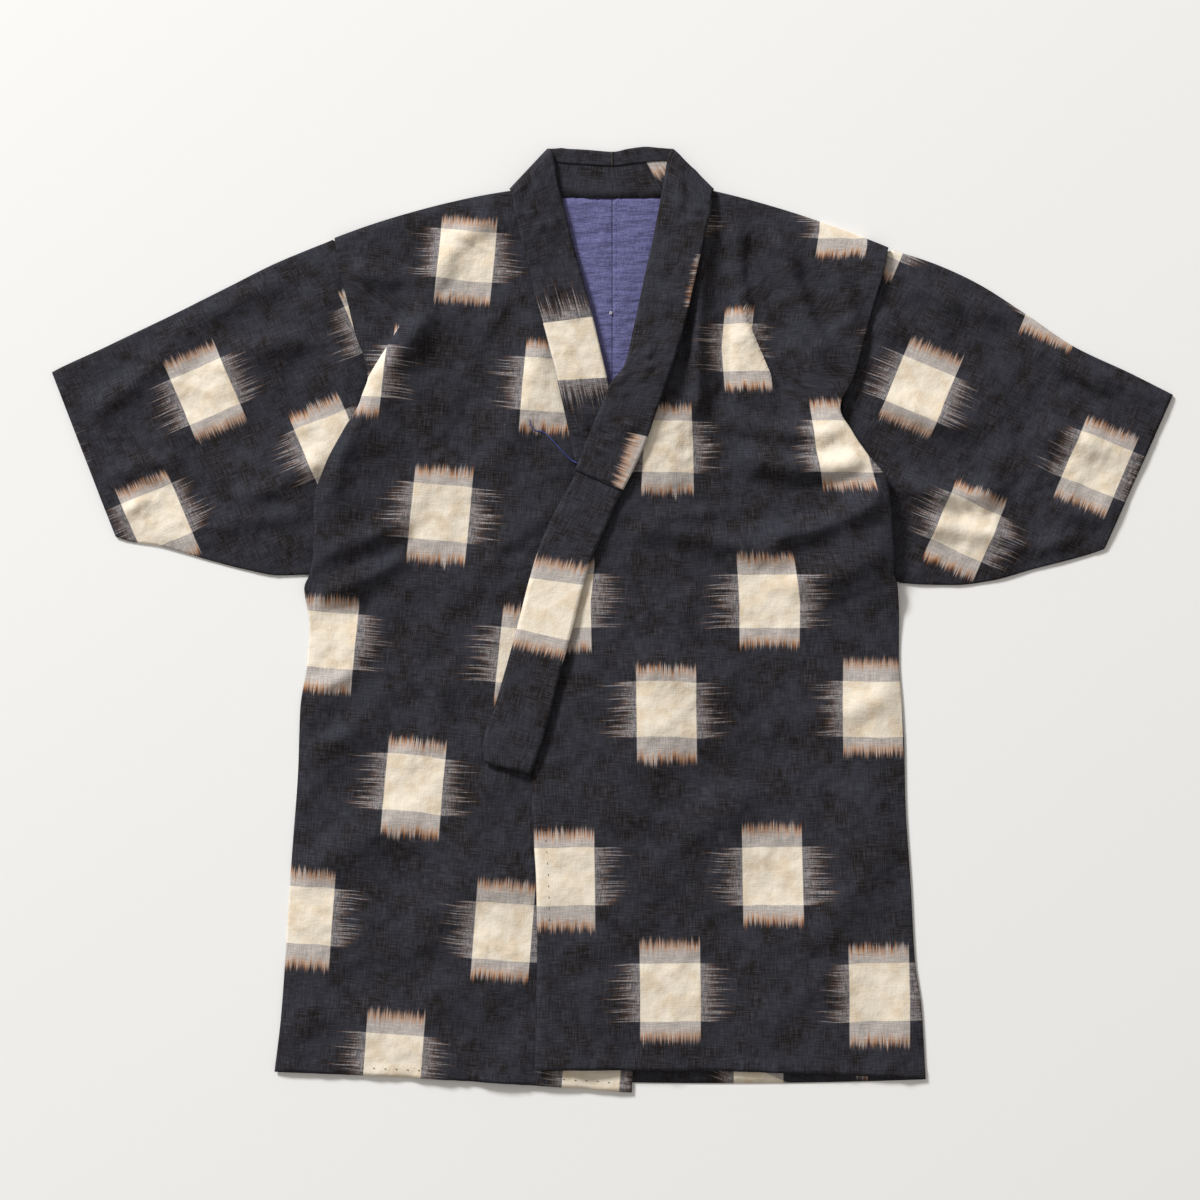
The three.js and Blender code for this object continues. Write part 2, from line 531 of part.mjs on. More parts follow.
// A point of the collar: t runs from the seam edge to the free edge, beyond adds to it in
// millimetres, and up is measured from the middle of the band towards its outer face.
function collarPoint(section, t, up, beyond = 0) {
  const dx = section.freeX - section.seamX;
  const dy = section.freeY - section.seamY;
  const width = Math.hypot(dx, dy);
  const share = t + beyond / width;
  const side = Math.sign(section.seamX) * Math.sign(dy);
  const roll = THREE.MathUtils.degToRad(section.roll);
  const out = side * Math.sin(roll) * (up - OUTERMOST);
  const height = mix(section.level(t), MIDDLE, (1 - Math.cos(roll)) / 2);
  return new THREE.Vector3(
    section.seamX + dx * share + (out * dy) / width,
    section.seamY + dy * share - (out * dx) / width,
    height + Math.cos(roll) * up,
  );
}

// Cross-sections, from seam edge to free edge
const across = Array.from({ length: COLLAR_COLUMNS + 1 }, (_, i) => i / COLLAR_COLUMNS);
function bandSection(section) {
  return {
    outer: across.map((t) => collarPoint(section, t, COLLAR / 2)),
    inner: across.map((t) => collarPoint(section, t, -COLLAR / 2)),
  };
}
function coverSection(section) {
  const near = COLLAR / 2 + GAP;
  const far = near + COVER;
  const turned = across[COLLAR_COLUMNS - 1];
  const over = across.filter((t) => t < 1);
  return {
    outer: [
      ...over.map((t) => collarPoint(section, t, far)),
      collarPoint(section, 1, far),
      collarPoint(section, 1, 0, EDGE_GAP + COVER),
      collarPoint(section, 1, -far),
      collarPoint(section, turned, -far),
    ],
    inner: [
      ...over.map((t) => collarPoint(section, t, near)),
      collarPoint(section, 1, near),
      collarPoint(section, 1, 0, EDGE_GAP),
      collarPoint(section, 1, -near),
      collarPoint(section, turned, -near),
    ],
  };
}

// Adds sections between those of the band, so that no step is long and no turn is sharp
function refineBand(table) {
  const keys = Object.keys(table[0]);
  return table.flatMap((a, i) => {
    if (i + 1 === table.length) return [{ row: i, ...a }];
    const b = table[i + 1];
    const long = Math.hypot(b.seamX - a.seamX, b.seamY - a.seamY);
    const parts = a.roll === b.roll ? Math.ceil(long / REACH) : ROLL_PARTS;
    const between = (t) => Object.fromEntries(keys.map((key) => [key, mix(a[key], b[key], t)]));
    return Array.from({ length: parts }, (_, k) => ({ row: i + k / parts, ...between(k / parts) }));
  });
}

// Lays a run of sections on the pile. Each rests straight from its seam edge to its free edge.
function rest(sections) {
  return sections.map((section) => {
    const heights = across.map((t) => {
      const x = mix(section.seamX, section.freeX, t);
      const y = mix(section.seamY, section.freeY, t);
      return restingHeight(x, y) + GAP + MIDDLE;
    });
    const [seam, free] = [heights[0], heights[COLLAR_COLUMNS]];
    const lift = Math.max(...heights.map((height, i) => height - mix(seam, free, across[i])));
    return { ...section, level: (t) => mix(seam, free, t) + lift };
  });
}

// One stretch of the band or of its cover. Its last section stands a gap short of the next one.
function stretch(sections, { cut, from, to }) {
  const profile = { band: bandSection, cover: coverSection }[cut];
  const made = sections.filter(({ row }) => row >= from && row <= to).map(profile);
  const [before, last] = made.slice(-2);
  for (const side of ["outer", "inner"]) {
    last[side].forEach((point, i) => {
      const step = before[side][i].clone().sub(point);
      point.add(step.setLength(Math.min(STRETCH_GAP, step.length() / 2)));
    });
  }
  return wall(made.map((s) => s.outer), made.map((s) => s.inner));
}

// Laying the garment, from the table up
const rightBack = backSections(RIGHT_BACK, -1);
const leftBack = backSections(LEFT_BACK, 1);
layOnPile(rightBack.map((section) => section.map((p) => p.inner)));
layOnPile(leftBack.map((section) => section.map((p) => p.inner)));

const band = refineBand(COLLAR_BAND);
const neckFirst = band.findIndex((section) => section.roll === 180);
const neckLast = band.findLastIndex((section) => section.roll === 180);
const neck = rest(band.slice(neckFirst, neckLast + 1));
layOnPile(neck.map((section) => across.map((t) => collarPoint(section, t, -OUTERMOST))));

const yokeRight = yokeHalf(-1);
const yokeLeft = yokeHalf(1);
layOnPile(yokeRight.upper);
layOnPile(yokeLeft.upper);

const sleeveRight = sleeve(RIGHT_SLEEVE, "rightSleeve", -1);
const sleeveLeft = sleeve(LEFT_SLEEVE, "leftSleeve", 1);
layOnPile(sleeveRight.tops);
layOnPile(sleeveLeft.tops);

const rightFront = frontSections(RIGHT_FRONT, "right");
layOnPile(rightFront.map((section) => section.map((p) => p.outer)));

const collarRight = rest(band.slice(neckLast + 1));
layOnPile(collarRight.map((section) => across.map((t) => collarPoint(section, t, OUTERMOST))));

const leftFront = frontSections(LEFT_FRONT, "left");
layOnPile(leftFront.map((section) => section.map((p) => p.outer)));

const collarLeft = rest(band.slice(0, neckFirst));
const collar = [...collarLeft, ...neck, ...collarRight];

// The cloths
const indigo = new THREE.MeshStandardMaterial({ color: 0x23222a, roughness: 0.9, metalness: 0 });
const violet = new THREE.MeshStandardMaterial({ color: 0x5a5e96, roughness: 0.9, metalness: 0 });

const jacket = new THREE.Group();
function add(name, geometry, material) {
  const mesh = new THREE.Mesh(geometry, material);
  mesh.name = name;
  jacket.add(mesh);
}
add("body_right", bodyLength(rightFront, RIGHT_SHOULDER, rightBack), indigo);
add("body_left", bodyLength(leftFront, LEFT_SHOULDER, leftBack), indigo);
add("sleeve_right", sleeveRight.geometry, indigo);
add("sleeve_left", sleeveLeft.geometry, indigo);
for (const part of STRETCHES) {
  add(part.name, stretch(collar, part), indigo);
}
add("yoke_lining_right", yokeRight.geometry, violet);
add("yoke_lining_left", yokeLeft.geometry, violet);

export default jacket;
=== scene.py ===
# %% [markdown]
# A noragi laid flat
#
# A noragi is the short-sleeved jacket of Japanese farm work. This one is dark cotton with pale
# woven squares, which are made by dyeing the threads in stripes before they are woven. It lies on
# a table with its front up. The CAD model gives its pieces as plain walls of cloth. Here each
# piece becomes thin cloth with folds, seams and a woven finish, in the same place.

# %% Load the frame
import math
import mathutils

import bpy
import numpy as np
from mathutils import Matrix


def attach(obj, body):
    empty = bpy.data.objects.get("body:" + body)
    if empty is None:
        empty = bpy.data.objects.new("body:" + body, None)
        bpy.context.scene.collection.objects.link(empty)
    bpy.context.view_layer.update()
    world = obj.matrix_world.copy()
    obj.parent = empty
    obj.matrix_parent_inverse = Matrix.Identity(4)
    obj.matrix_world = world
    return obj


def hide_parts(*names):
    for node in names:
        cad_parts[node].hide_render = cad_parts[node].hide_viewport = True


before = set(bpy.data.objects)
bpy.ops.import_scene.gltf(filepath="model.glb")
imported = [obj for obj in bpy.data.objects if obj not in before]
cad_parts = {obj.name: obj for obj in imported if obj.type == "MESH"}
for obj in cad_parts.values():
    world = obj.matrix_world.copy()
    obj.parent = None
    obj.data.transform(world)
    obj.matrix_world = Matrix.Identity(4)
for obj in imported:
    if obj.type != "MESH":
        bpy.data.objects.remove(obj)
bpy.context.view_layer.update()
MM = 0.001

# %% [markdown]
# The picture was taken from straight above with a long lens, so the camera looks down from more
# than two metres. Its distance follows from how much of the table fits in the picture. It stands
# a little off the middle of the jacket, as the picture's own middle does.

# %% Camera
PICTURE_WIDTH = 1.116  # metres of table across the picture
PICTURE_MIDDLE = (-0.0116, 0.0186)
CLOTH_HIGH = 0.008  # the cloth that the width is measured on lies so high
LENS = 85
SENSOR = 36
CAMERA_HEIGHT = LENS / SENSOR * PICTURE_WIDTH + CLOTH_HIGH
camera_data = bpy.data.cameras.new("camera")
camera_data.lens = LENS
camera_data.sensor_width = SENSOR
camera = bpy.data.objects.new("camera", camera_data)
camera.location = (*PICTURE_MIDDLE, CAMERA_HEIGHT)
bpy.context.scene.collection.objects.link(camera)
bpy.context.scene.camera = camera
print("camera height", round(CAMERA_HEIGHT, 3))

# %% [markdown]
# A cloth on a table is mostly flat, so its form is a height over every point of the table. All
# the cloth that lies there so far is kept as one map of heights, the pile. A new piece asks the
# pile how high it must lie, which makes it drape over the edges below, and then it is added.
# A simulation of falling cloth would also do it, but would shift the outline, which stays here.

# %% The pile of cloth
CELL = 2.0  # millimetres
HALF_X = 560.0
HALF_Y = 480.0
pile = np.zeros((int(2 * HALF_Y / CELL), int(2 * HALF_X / CELL)))


def widened(heights, cells, slope=0.0):
    """Each cell takes the highest of its 3 by 3 neighbours, less the slope, as often as asked."""
    for _ in range(cells):
        padded = np.pad(heights, 1, mode="edge")
        sides = [padded[1:-1, :-2], padded[1:-1, 2:], padded[:-2, 1:-1], padded[2:, 1:-1]]
        corners = [padded[:-2, :-2], padded[:-2, 2:], padded[2:, :-2], padded[2:, 2:]]
        near = np.maximum.reduce(sides) - slope
        far = np.maximum.reduce(corners) - slope * math.sqrt(2)
        heights = np.maximum.reduce([heights, near, far])
    return heights


def blurred(heights, cells):
    """A running mean over 2 * cells + 1 cells, down and then across, done twice."""
    size = 2 * cells + 1
    for axis in (0, 1, 0, 1):
        widths = [(0, 0), (0, 0)]
        widths[axis] = (cells + 1, cells)
        total = np.cumsum(np.pad(heights, widths, mode="edge"), axis=axis)
        upper = np.take(total, range(size, total.shape[axis]), axis=axis)
        lower = np.take(total, range(0, total.shape[axis] - size), axis=axis)
        heights = (upper - lower) / size
    return heights


def sampled(heights, x, y):
    """The map at points between its cells, mixed from the four cells around each point."""
    column = np.clip((x + HALF_X) / CELL - 0.5, 0, heights.shape[1] - 1.001)
    row = np.clip((y + HALF_Y) / CELL - 0.5, 0, heights.shape[0] - 1.001)
    c, r = column.astype(int), row.astype(int)
    s, t = column - c, row - r
    low = heights[r, c] * (1 - s) + heights[r, c + 1] * s
    high = heights[r + 1, c] * (1 - s) + heights[r + 1, c + 1] * s
    return low * (1 - t) + high * t


def drape_map(reach=3, soft=3, slope=0.16, run=22):
    """The height on which new cloth lies: the pile, widened, sloped off and softened."""
    wide = widened(pile, reach + 2 * soft)
    return blurred(widened(wide, run, slope), soft)


def add_to_pile(points):
    """Every cell under a grid of points takes the highest point over it."""
    parts = 5
    dense = points
    for axis in (0, 1):
        steps = np.linspace(0, dense.shape[axis] - 1, (dense.shape[axis] - 1) * parts + 1)
        whole = np.minimum(steps.astype(int), dense.shape[axis] - 2)
        share = steps - whole
        share = share[:, None, None] if axis == 0 else share[None, :, None]
        first = np.take(dense, whole, axis=axis)
        dense = first * (1 - share) + np.take(dense, whole + 1, axis=axis) * share
    column = np.clip(((dense[..., 0] + HALF_X) / CELL).astype(int), 0, pile.shape[1] - 1)
    row = np.clip(((dense[..., 1] + HALF_Y) / CELL).astype(int), 0, pile.shape[0] - 1)
    np.maximum.at(pile, (row.ravel(), column.ravel()), dense[..., 2].ravel())


print("pile cells", pile.shape)

# %% [markdown]
# A piece of cloth is a grid of points for its face, and a second grid one thickness behind it.
# The two grids are joined round their edges, so the piece is a closed shell, as real cloth is.
# Each point also carries its place in the woven cloth, in decimetres, as a UV map. The pattern
# is drawn in that map, so it follows every fold. A modifier could thicken a single sheet, but
# this way the rim and the maps are known exactly.

# %% A shell of cloth
CLOTH = 0.8  # millimetres
GAP = 0.35


def normals_of(points):
    """The cross product of the two grid directions at each point, scaled to length 1."""
    normal = np.cross(np.gradient(points, axis=1), np.gradient(points, axis=0))
    return normal / np.maximum(np.linalg.norm(normal, axis=2, keepdims=True), 1e-9)


def smoothstep(t):
    """0 below 0, 1 above 1, and a soft S between."""
    s = np.clip(t, 0, 1)
    return s * s * (3 - 2 * s)


def cloth_piece(name, points, places, thickness=CLOTH, ring=False, upward=None):
    """The face grid and the grid behind it, joined to a closed mesh. ring closes each row."""
    normal = normals_of(points)
    if ring:
        wrapped = np.concatenate([points[:, -1:], points, points[:, :1]], axis=1)
        normal = normals_of(wrapped)[:, 1:-1]
    if upward is not None and normal[upward][2] < 0:
        normal = -normal
    rows, columns = points.shape[:2]
    behind = points - normal * thickness
    vertices = np.concatenate([points.reshape(-1, 3), behind.reshape(-1, 3)]) * MM
    number = np.arange(rows * columns).reshape(rows, columns)
    if ring:
        number = np.concatenate([number, number[:, :1]], axis=1)
    other = number + rows * columns

    def quads(a, b, c, d):
        return np.stack([a, b, c, d], axis=-1).reshape(-1, 4)

    face = quads(number[:-1, :-1], number[:-1, 1:], number[1:, 1:], number[1:, :-1])
    back = quads(other[:-1, :-1], other[1:, :-1], other[1:, 1:], other[:-1, 1:])
    start = quads(number[0, :-1], other[0, :-1], other[0, 1:], number[0, 1:])
    end = quads(number[-1, :-1], number[-1, 1:], other[-1, 1:], other[-1, :-1])
    faces = [face, back, start, end]
    if not ring:
        faces.append(quads(number[:-1, 0], number[1:, 0], other[1:, 0], other[:-1, 0]))
        faces.append(quads(number[:-1, -1], other[:-1, -1], other[1:, -1], number[1:, -1]))
    faces = np.concatenate(faces)
    corner = vertices[face[0]]
    facing = np.cross(corner[1] - corner[0], corner[3] - corner[0])
    if np.dot(facing, normal.reshape(-1, 3)[face[0][0]]) < 0:
        faces = faces[:, ::-1]
    mesh = bpy.data.meshes.new(name)
    mesh.from_pydata(vertices, [], faces.tolist())
    loops = np.empty(len(mesh.loops), dtype=int)
    mesh.loops.foreach_get("vertex_index", loops)
    for first, map_name in ((0, "cloth"), (2, "tuck")):
        pair = places[..., first:first + 2]
        if pair.shape[-1] == 0:
            pair = np.zeros_like(places[..., :2])
        pair = np.tile(pair.reshape(-1, 2), (2, 1)) / 100.0
        layer = mesh.uv_layers.new(name=map_name)
        layer.data.foreach_set("uv", pair[loops].ravel())
    mesh.polygons.foreach_set("use_smooth", np.ones(len(mesh.polygons), dtype=bool))
    mesh.update()
    piece = bpy.data.objects.new(name, mesh)
    bpy.context.scene.collection.objects.link(piece)
    print(name, len(faces), "faces, top at", round(float(points[..., 2].max()), 1), "mm")
    return piece


print("cloth", CLOTH, "mm thick, layers", GAP, "mm apart")

# %% [markdown]
# The outline of each piece is given by sections, laid across it one after the other. A row of
# the table is one section, in millimetres on the table: where it starts at the side of the
# garment, and where it ends at the collar, at the front edge or at the middle of the back. A
# smooth curve goes through the rows, so a few of them are enough.

# %% Sections through a table
STEP = 4.0  # millimetres between sections


def through(table, step=STEP, by=(0, 2)):
    """A smooth cubic curve through the rows: Hermite pieces whose slope at each row is the
    harmonic mean of the slopes on its two sides, or zero where they differ in sign, so that
    the curve never swings past a row. by names the first columns of the two ends."""
    rows = np.array(table, dtype=float)
    spans = [np.hypot(*(np.diff(rows[:, k:k + 2], axis=0).T)) for k in by]
    at = np.concatenate([[0], np.cumsum(np.maximum.reduce(spans))])
    steep = np.diff(rows, axis=0) / np.diff(at)[:, None]
    before, after = steep[:-1], steep[1:]
    both = np.where(before + after == 0, 1, before + after)
    inner = np.where(before * after > 0, 2 * before * after / both, 0)
    slope = np.concatenate([steep[:1], inner, steep[-1:]])
    wanted = np.linspace(0, at[-1], int(round(at[-1] / step)) + 1)
    i = np.clip(np.searchsorted(at, wanted, side="right") - 1, 0, len(at) - 2)
    span = (at[i + 1] - at[i])[:, None]
    t = (wanted - at[i])[:, None] / span
    a, b = rows[i], rows[i + 1]
    return (
        a * (2 * t**3 - 3 * t**2 + 1)
        + b * (3 * t**2 - 2 * t**3)
        + slope[i] * span * (t**3 - 2 * t**2 + t)
        + slope[i + 1] * span * (t**3 - t**2)
    )


# side_x, side_y, mid_x, mid_y, how far the side end turns under (0 or 1), bow of the section
RIGHT_FRONT = [
    (-315, -421, 18, -440.5, 0, 2),
    (-309, -370, 20, -386, 0, 0),
    (-304, -302, 22, -311, 0, 0),
    (-299, -223, 25, -230, 0, 0),
    (-293, -139, 27, -144, 0, 0),
    (-291, -83, 14, -86, 0, 0),
    (-284, -37, 4, -37, 0, 0),
    (-282, -4, -4, 0, 0, 0),
    (-287, 29, -12, 34, 0, 0),
    (-278, 65, -20, 74, 1, 0),
    (-277, 111, -29, 118, 1, 0),
    (-267, 144, -37, 150, 1, 0),
    (-250, 177, -44, 181, 1, 0),
    (-234, 206, -50, 212, 1, 0),
    (-229, 235, -56, 242, 0, 0),
    (-239, 265, -63, 270, 0, 1),
    (-247, 298, -71, 300, 0, 2),
    (-254, 325, -80, 334, 0, 3),
    (-258, 350, -92, 390, 0, 5),
]
LEFT_FRONT = [
    (292, -428, -72, -419, 0, 3),
    (288, -361, -71, -353, 0, 0),
    (282, -318, -70, -307, 0, 0),
    (278, -246, -71, -242, 0, 0),
    (273, -167, -75, -177, 0, 0),
    (272, -116, -74, -141, 0, 0),
    (270, -79, -65, -111, 0, 0),
    (267, -37, -54, -71, 0, 0),
    (267, 0, -43, -31, 0, 0),
    (265, 32, -33, 13, 0, 0),
    (261, 70, -21, 50, 1, 0),
    (258, 107, -7, 84, 1, 0),
    (255, 130, 11, 118, 1, 0),
    (237, 154, 24, 149, 1, 0),
    (223, 175, 35, 177, 1, 0),
    (214, 196, 43, 200, 0.4, 0),
    (225, 228, 55, 238, 0, 0),
    (234, 261, 65, 271, 0, 0),
    (243, 293, 72, 300, 0, 1),
    (251, 320, 80, 333, 0, 2),
    (255.5, 341, 91, 390, 0, 4),
]
RIGHT_BACK = [
    (-259, 342, -70, 393, 0, 4),
    (-260, 327, -38, 391, 0, 3),
    (-261, 308, 0, 391, 0, 1),
    (-264, 262, 0, 335, 0, 0),
    (-279, 46, 0, 60, 0, 0),
    (-284, 20, 0, 22, 0, 0),
    (-281, -20, 0, -20, 0, 0),
    (-289, -84, 0, -84, 0, 0),
    (-302, -302, 0, -311, 0, 0),
    (-313, -419, 0, -431, 0, 0),
]
LEFT_BACK = [
    (257.5, 333, 70, 393, 0, 4),
    (258, 320, 38, 391, 0, 3),
    (258.5, 303, 0, 391, 0, 1),
    (259.5, 262, 0, 335, 0, 0),
    (265.5, 38, 0, 50, 0, 0),
    (263, 20, 0, 22, 0, 0),
    (265, -37, 0, -37, 0, 0),
    (270, -116, 0, -116, 0, 0),
    (280, -318, 0, -320, 0, 0),
    (290, -428.5, 0, -431, 0, -2),
]
RIGHT_SHOULDER = (-259, 356, -95, 400, 0, 5)
LEFT_SHOULDER = (257, 347, 94, 400, 0, 4)
print("sections", len(through(RIGHT_FRONT)), len(through(LEFT_FRONT)))

# %% [markdown]
# The relief of the cloth is drawn as one reads it from the picture: soft ridges where the cloth
# is pulled from the neck and from under the arms, and troughs between them. Each is a bell curve
# across a slightly bowed line, and dies away at both ends. Over that lies a slow, uneven ripple, a
# sum of a few waves in different directions.

# %% Folds and ripples
# layer, from x, y, to x, y, sideways bow, half width, height (negative for a trough), all in mm
CREASES = [
    ("right", -108, 388, -168, 300, 6, 13, 4.0),
    ("right", -165, 305, -226, 222, -8, 13, 4.5),
    ("right", -232, 215, -262, 110, 5, 12, 3.5),
    ("right", -128, 372, -180, 268, 0, 12, -2.0),
    ("right", -248, 344, -165, 357, 4, 10, -2.2),
    ("right", -240, 326, -196, 316, 2, 8, 1.8),
    ("right", -62, 300, -112, 140, -10, 15, 2.0),
    ("right", -92, 300, -150, 160, -6, 12, -1.6),
    ("right", -281, 22, -190, 60, 4, 10, 3.2),
    ("right", -270, 62, -185, 96, 3, 9, 2.2),
    ("right", -283, -4, -225, 14, -2, 8, -1.8),
    ("right", -286, -62, -242, -52, 2, 7, 2.0),
    ("right", -292, -130, -236, -96, 3, 9, 1.6),
    ("right", -262, -160, -170, -70, 8, 16, -1.4),
    ("right", -298, -250, -180, -180, -8, 17, 1.8),
    ("right", -200, -330, -120, -190, 10, 20, 1.6),
    ("right", -285, -360, -150, -300, 8, 18, -1.2),
    ("right", -120, 60, -40, 120, 5, 13, 1.5),
    ("left", 84, 366, 80, 188, 3, 8, 3.8),
    ("left", 98, 362, 104, 200, -3, 7, -2.4),
    ("left", 118, 372, 128, 250, 2, 9, 2.0),
    ("left", 124, 358, 168, 268, 4, 16, -2.6),
    ("left", 150, 372, 206, 232, 6, 12, 3.0),
    ("left", 176, 330, 203, 262, 0, 9, -2.2),
    ("left", 206, 330, 226, 268, -3, 8, 2.0),
    ("left", 137, 74, 256, 118, 7, 11, 4.4),
    ("left", 92, 100, 250, 140, 10, 12, -2.6),
    ("left", 118, 152, 240, 150, 10, 12, 3.2),
    ("left", 96, 190, 216, 176, 8, 10, 2.2),
    ("left", 63, 116, 160, 128, 4, 12, -2.2),
    ("left", 30, 96, 120, 112, 4, 10, 1.8),
    ("left", -20, 58, 116, 28, -6, 13, -2.6),
    ("left", 20, 84, 170, 52, -6, 10, 2.4),
    ("left", 150, 30, 262, 66, 6, 12, 2.2),
    ("left", 190, 10, 266, 22, 3, 9, -1.8),
    ("left", 10, -40, 120, -70, -6, 16, 1.8),
    ("left", 196, -90, 268, -64, 4, 12, 1.8),
    ("left", 60, -150, 190, -110, 10, 18, -1.4),
    ("left", 30, -260, 130, -150, -12, 20, 1.8),
    ("left", 180, -300, 270, -190, 10, 18, 1.5),
    ("left", -50, -330, 60, -290, 8, 18, -1.2),
    ("left", 120, -390, 230, -330, -8, 18, 1.4),
    ("right_sleeve", -300, 318, -420, 262, 6, 12, 2.2),
    ("right_sleeve", -276, 262, -380, 232, 5, 14, 2.6),
    ("right_sleeve", -262, 205, -352, 160, 7, 12, -2.0),
    ("right_sleeve", -268, 150, -350, 112, -4, 11, 2.8),
    ("right_sleeve", -284, 95, -372, 84, 4, 10, 2.0),
    ("right_sleeve", -420, 246, -496, 190, -5, 10, 1.8),
    ("right_sleeve", -402, 150, -478, 128, 4, 9, 1.6),
    ("right_sleeve", -430, 112, -462, 92, 2, 6, 1.6),
    ("left_sleeve", 272, 318, 372, 284, 5, 11, 2.4),
    ("left_sleeve", 252, 262, 330, 226, 6, 12, -2.2),
    ("left_sleeve", 242, 215, 340, 176, 5, 12, 3.0),
    ("left_sleeve", 262, 130, 360, 118, 6, 12, 4.0),
    ("left_sleeve", 278, 86, 372, 74, -4, 10, 2.6),
    ("left_sleeve", 390, 262, 462, 214, 4, 9, 2.4),
    ("left_sleeve", 430, 246, 512, 204, 3, 6, 2.0),
    ("left_sleeve", 420, 228, 496, 186, 4, 7, -1.8),
    ("left_sleeve", 388, 176, 470, 150, -5, 11, 2.0),
    ("left_sleeve", 400, 112, 462, 92, 4, 8, 1.8),
    ("left_sleeve", 360, 66, 440, 78, 3, 8, 1.6),
]
# layer, loft of the whole layer, height and length of its ripples
LAYERS = {
    "right": (2.0, 1.3, 85),
    "left": (2.2, 1.4, 90),
    "right_sleeve": (2.0, 1.4, 60),
    "left_sleeve": (2.2, 1.6, 55),
    "yoke": (0.9, 0.6, 40),
}
CREASE_SCALE = 2.6
LINES = (1.1, 0.13, 70)  # height, thinness and spacing of the fine crease lines
# Where the cloth doubles over itself: layer, the fold's line, how far it stands up, cloth hidden.
# The lower cloth lies on the right of the line as it is drawn.
TUCKS = [
    ("right", -186, 292, -258, 176, 3.0, 62),
    ("left", 160, 200, 114, 306, 3.4, -22),
]
TUCK_FALL = 26.0
TUCK_REACH = 45.0
PUCKER = (0.55, 7.0, 9.0)  # height, spacing and reach of the small folds along a seam, in mm


def ripples(x, y, length, seed):
    """The sum of twelve plane waves, each cos(k . p + phase), over the root of twelve. Their
    directions, phases and lengths, from half to one and a half times length, are seeded."""
    chance = np.random.default_rng(seed)
    total = np.zeros_like(x)
    for _ in range(12):
        angle, phase = chance.uniform(0, 2 * math.pi, 2)
        k = 2 * math.pi / (length * chance.uniform(0.5, 1.5))
        total = total + np.cos(k * (x * math.cos(angle) + y * math.sin(angle)) + phase)
    return total / math.sqrt(12)


def crease(x, y, line):
    """Height times a bell curve of the distance from a bowed line, faded in and out."""
    x0, y0, x1, y1, bow, width, height = line
    dx, dy = x1 - x0, y1 - y0
    length = math.hypot(dx, dy)
    along = ((x - x0) * dx + (y - y0) * dy) / length
    across = ((x - x0) * dy - (y - y0) * dx) / length
    share = along / length
    across = across - bow * 4 * share * (1 - share)
    fade_in = smoothstep((along + width) / (3 * width))
    fade_out = smoothstep((length + width - along) / (3 * width))
    return height * fade_in * fade_out * np.exp(-((across / width) ** 2))


def tuck_place(x, y, line):
    """Distance to the left of the line, and a weight that fades out at the line's ends."""
    x0, y0, x1, y1 = line
    dx, dy = x1 - x0, y1 - y0
    length = math.hypot(dx, dy)
    along = ((x - x0) * dx + (y - y0) * dy) / length
    left = ((y - y0) * dx - (x - x0) * dy) / length
    weight = smoothstep(along / 22) * smoothstep((length - along) / 22)
    return left, weight


def pucker(run, distance):
    """A cosine along the seam whose phase wanders, fading with the distance from the seam."""
    height, spacing, reach = PUCKER
    wander = 2.0 * np.sin(run / 19.0) + 1.2 * np.sin(run / 7.7)
    return height * np.cos(2 * math.pi * run / spacing + wander) * np.exp(-distance / reach)


def relief(layer, x, y):
    """Loft, ripples and creases together, kept above zero by a soft floor."""
    loft, height, length = LAYERS[layer]
    seed = sorted(LAYERS).index(layer) + 3
    total = loft + height * ripples(x, y, length, seed) + 0.4 * ripples(x, y, length / 4, seed + 20)
    for name, *line in CREASES:
        if name == layer:
            total = total + CREASE_SCALE * crease(x, y, line)
    for name, x0, y0, x1, y1, stand, _ in TUCKS:
        if name == layer:
            left, weight = tuck_place(x, y, (x0, y0, x1, y1))
            upper = smoothstep(left / 3 + 0.5) * np.exp(-np.maximum(left, 0) / TUCK_FALL)
            total = total + stand * weight * upper
    high, thin, apart = LINES
    shown = smoothstep(ripples(x, y, 2 * apart, seed + 50) + 0.4)
    total = total + high * shown * np.exp(-((ripples(x, y, apart, seed + 40) / thin) ** 2))
    soft = 0.5
    return soft * np.logaddexp(0, total / soft)


print("creases", len(CREASES))

# %% [markdown]
# The kasuri cloth repeats every 195 mm across and every 250 mm along. To lay the repeat on a
# piece, a chart says how that piece of cloth lies on the table: how far it is turned, and at
# some heights on the table which row of the weave is there, where the middle column of marks
# runs, and how much the cloth is drawn in sideways.

# %% Charts of how the cloth lies
def place(chart, x, y):
    """Turn the point by the chart's angle, then read row, column and width from its table.
    Two more columns tell on which side of a tuck the point is, and how much cloth it hides."""
    turn = math.radians(chart["turn"])
    across = x * math.cos(turn) - y * math.sin(turn)
    along = x * math.sin(turn) + y * math.cos(turn)
    at, weave, middle, drawn = np.array(chart["rows"], dtype=float).T
    slope = np.gradient(weave, at)
    v = np.interp(along, at, weave)
    v = v + np.where(along < at[0], (along - at[0]) * slope[0], 0)
    v = v + np.where(along > at[-1], (along - at[-1]) * slope[-1], 0)
    u = (across - np.interp(along, at, middle)) / np.interp(along, at, drawn)
    side, hidden = np.zeros_like(u), np.zeros_like(u)
    for name, x0, y0, x1, y1, _, width in TUCKS:
        if name == chart.get("layer"):
            side, weight = tuck_place(x, y, (x0, y0, x1, y1))
            hidden = width * np.sqrt(weight) * (1 - smoothstep((-side - TUCK_REACH) / TUCK_REACH))
    return np.stack([u, v, side, hidden], axis=-1)


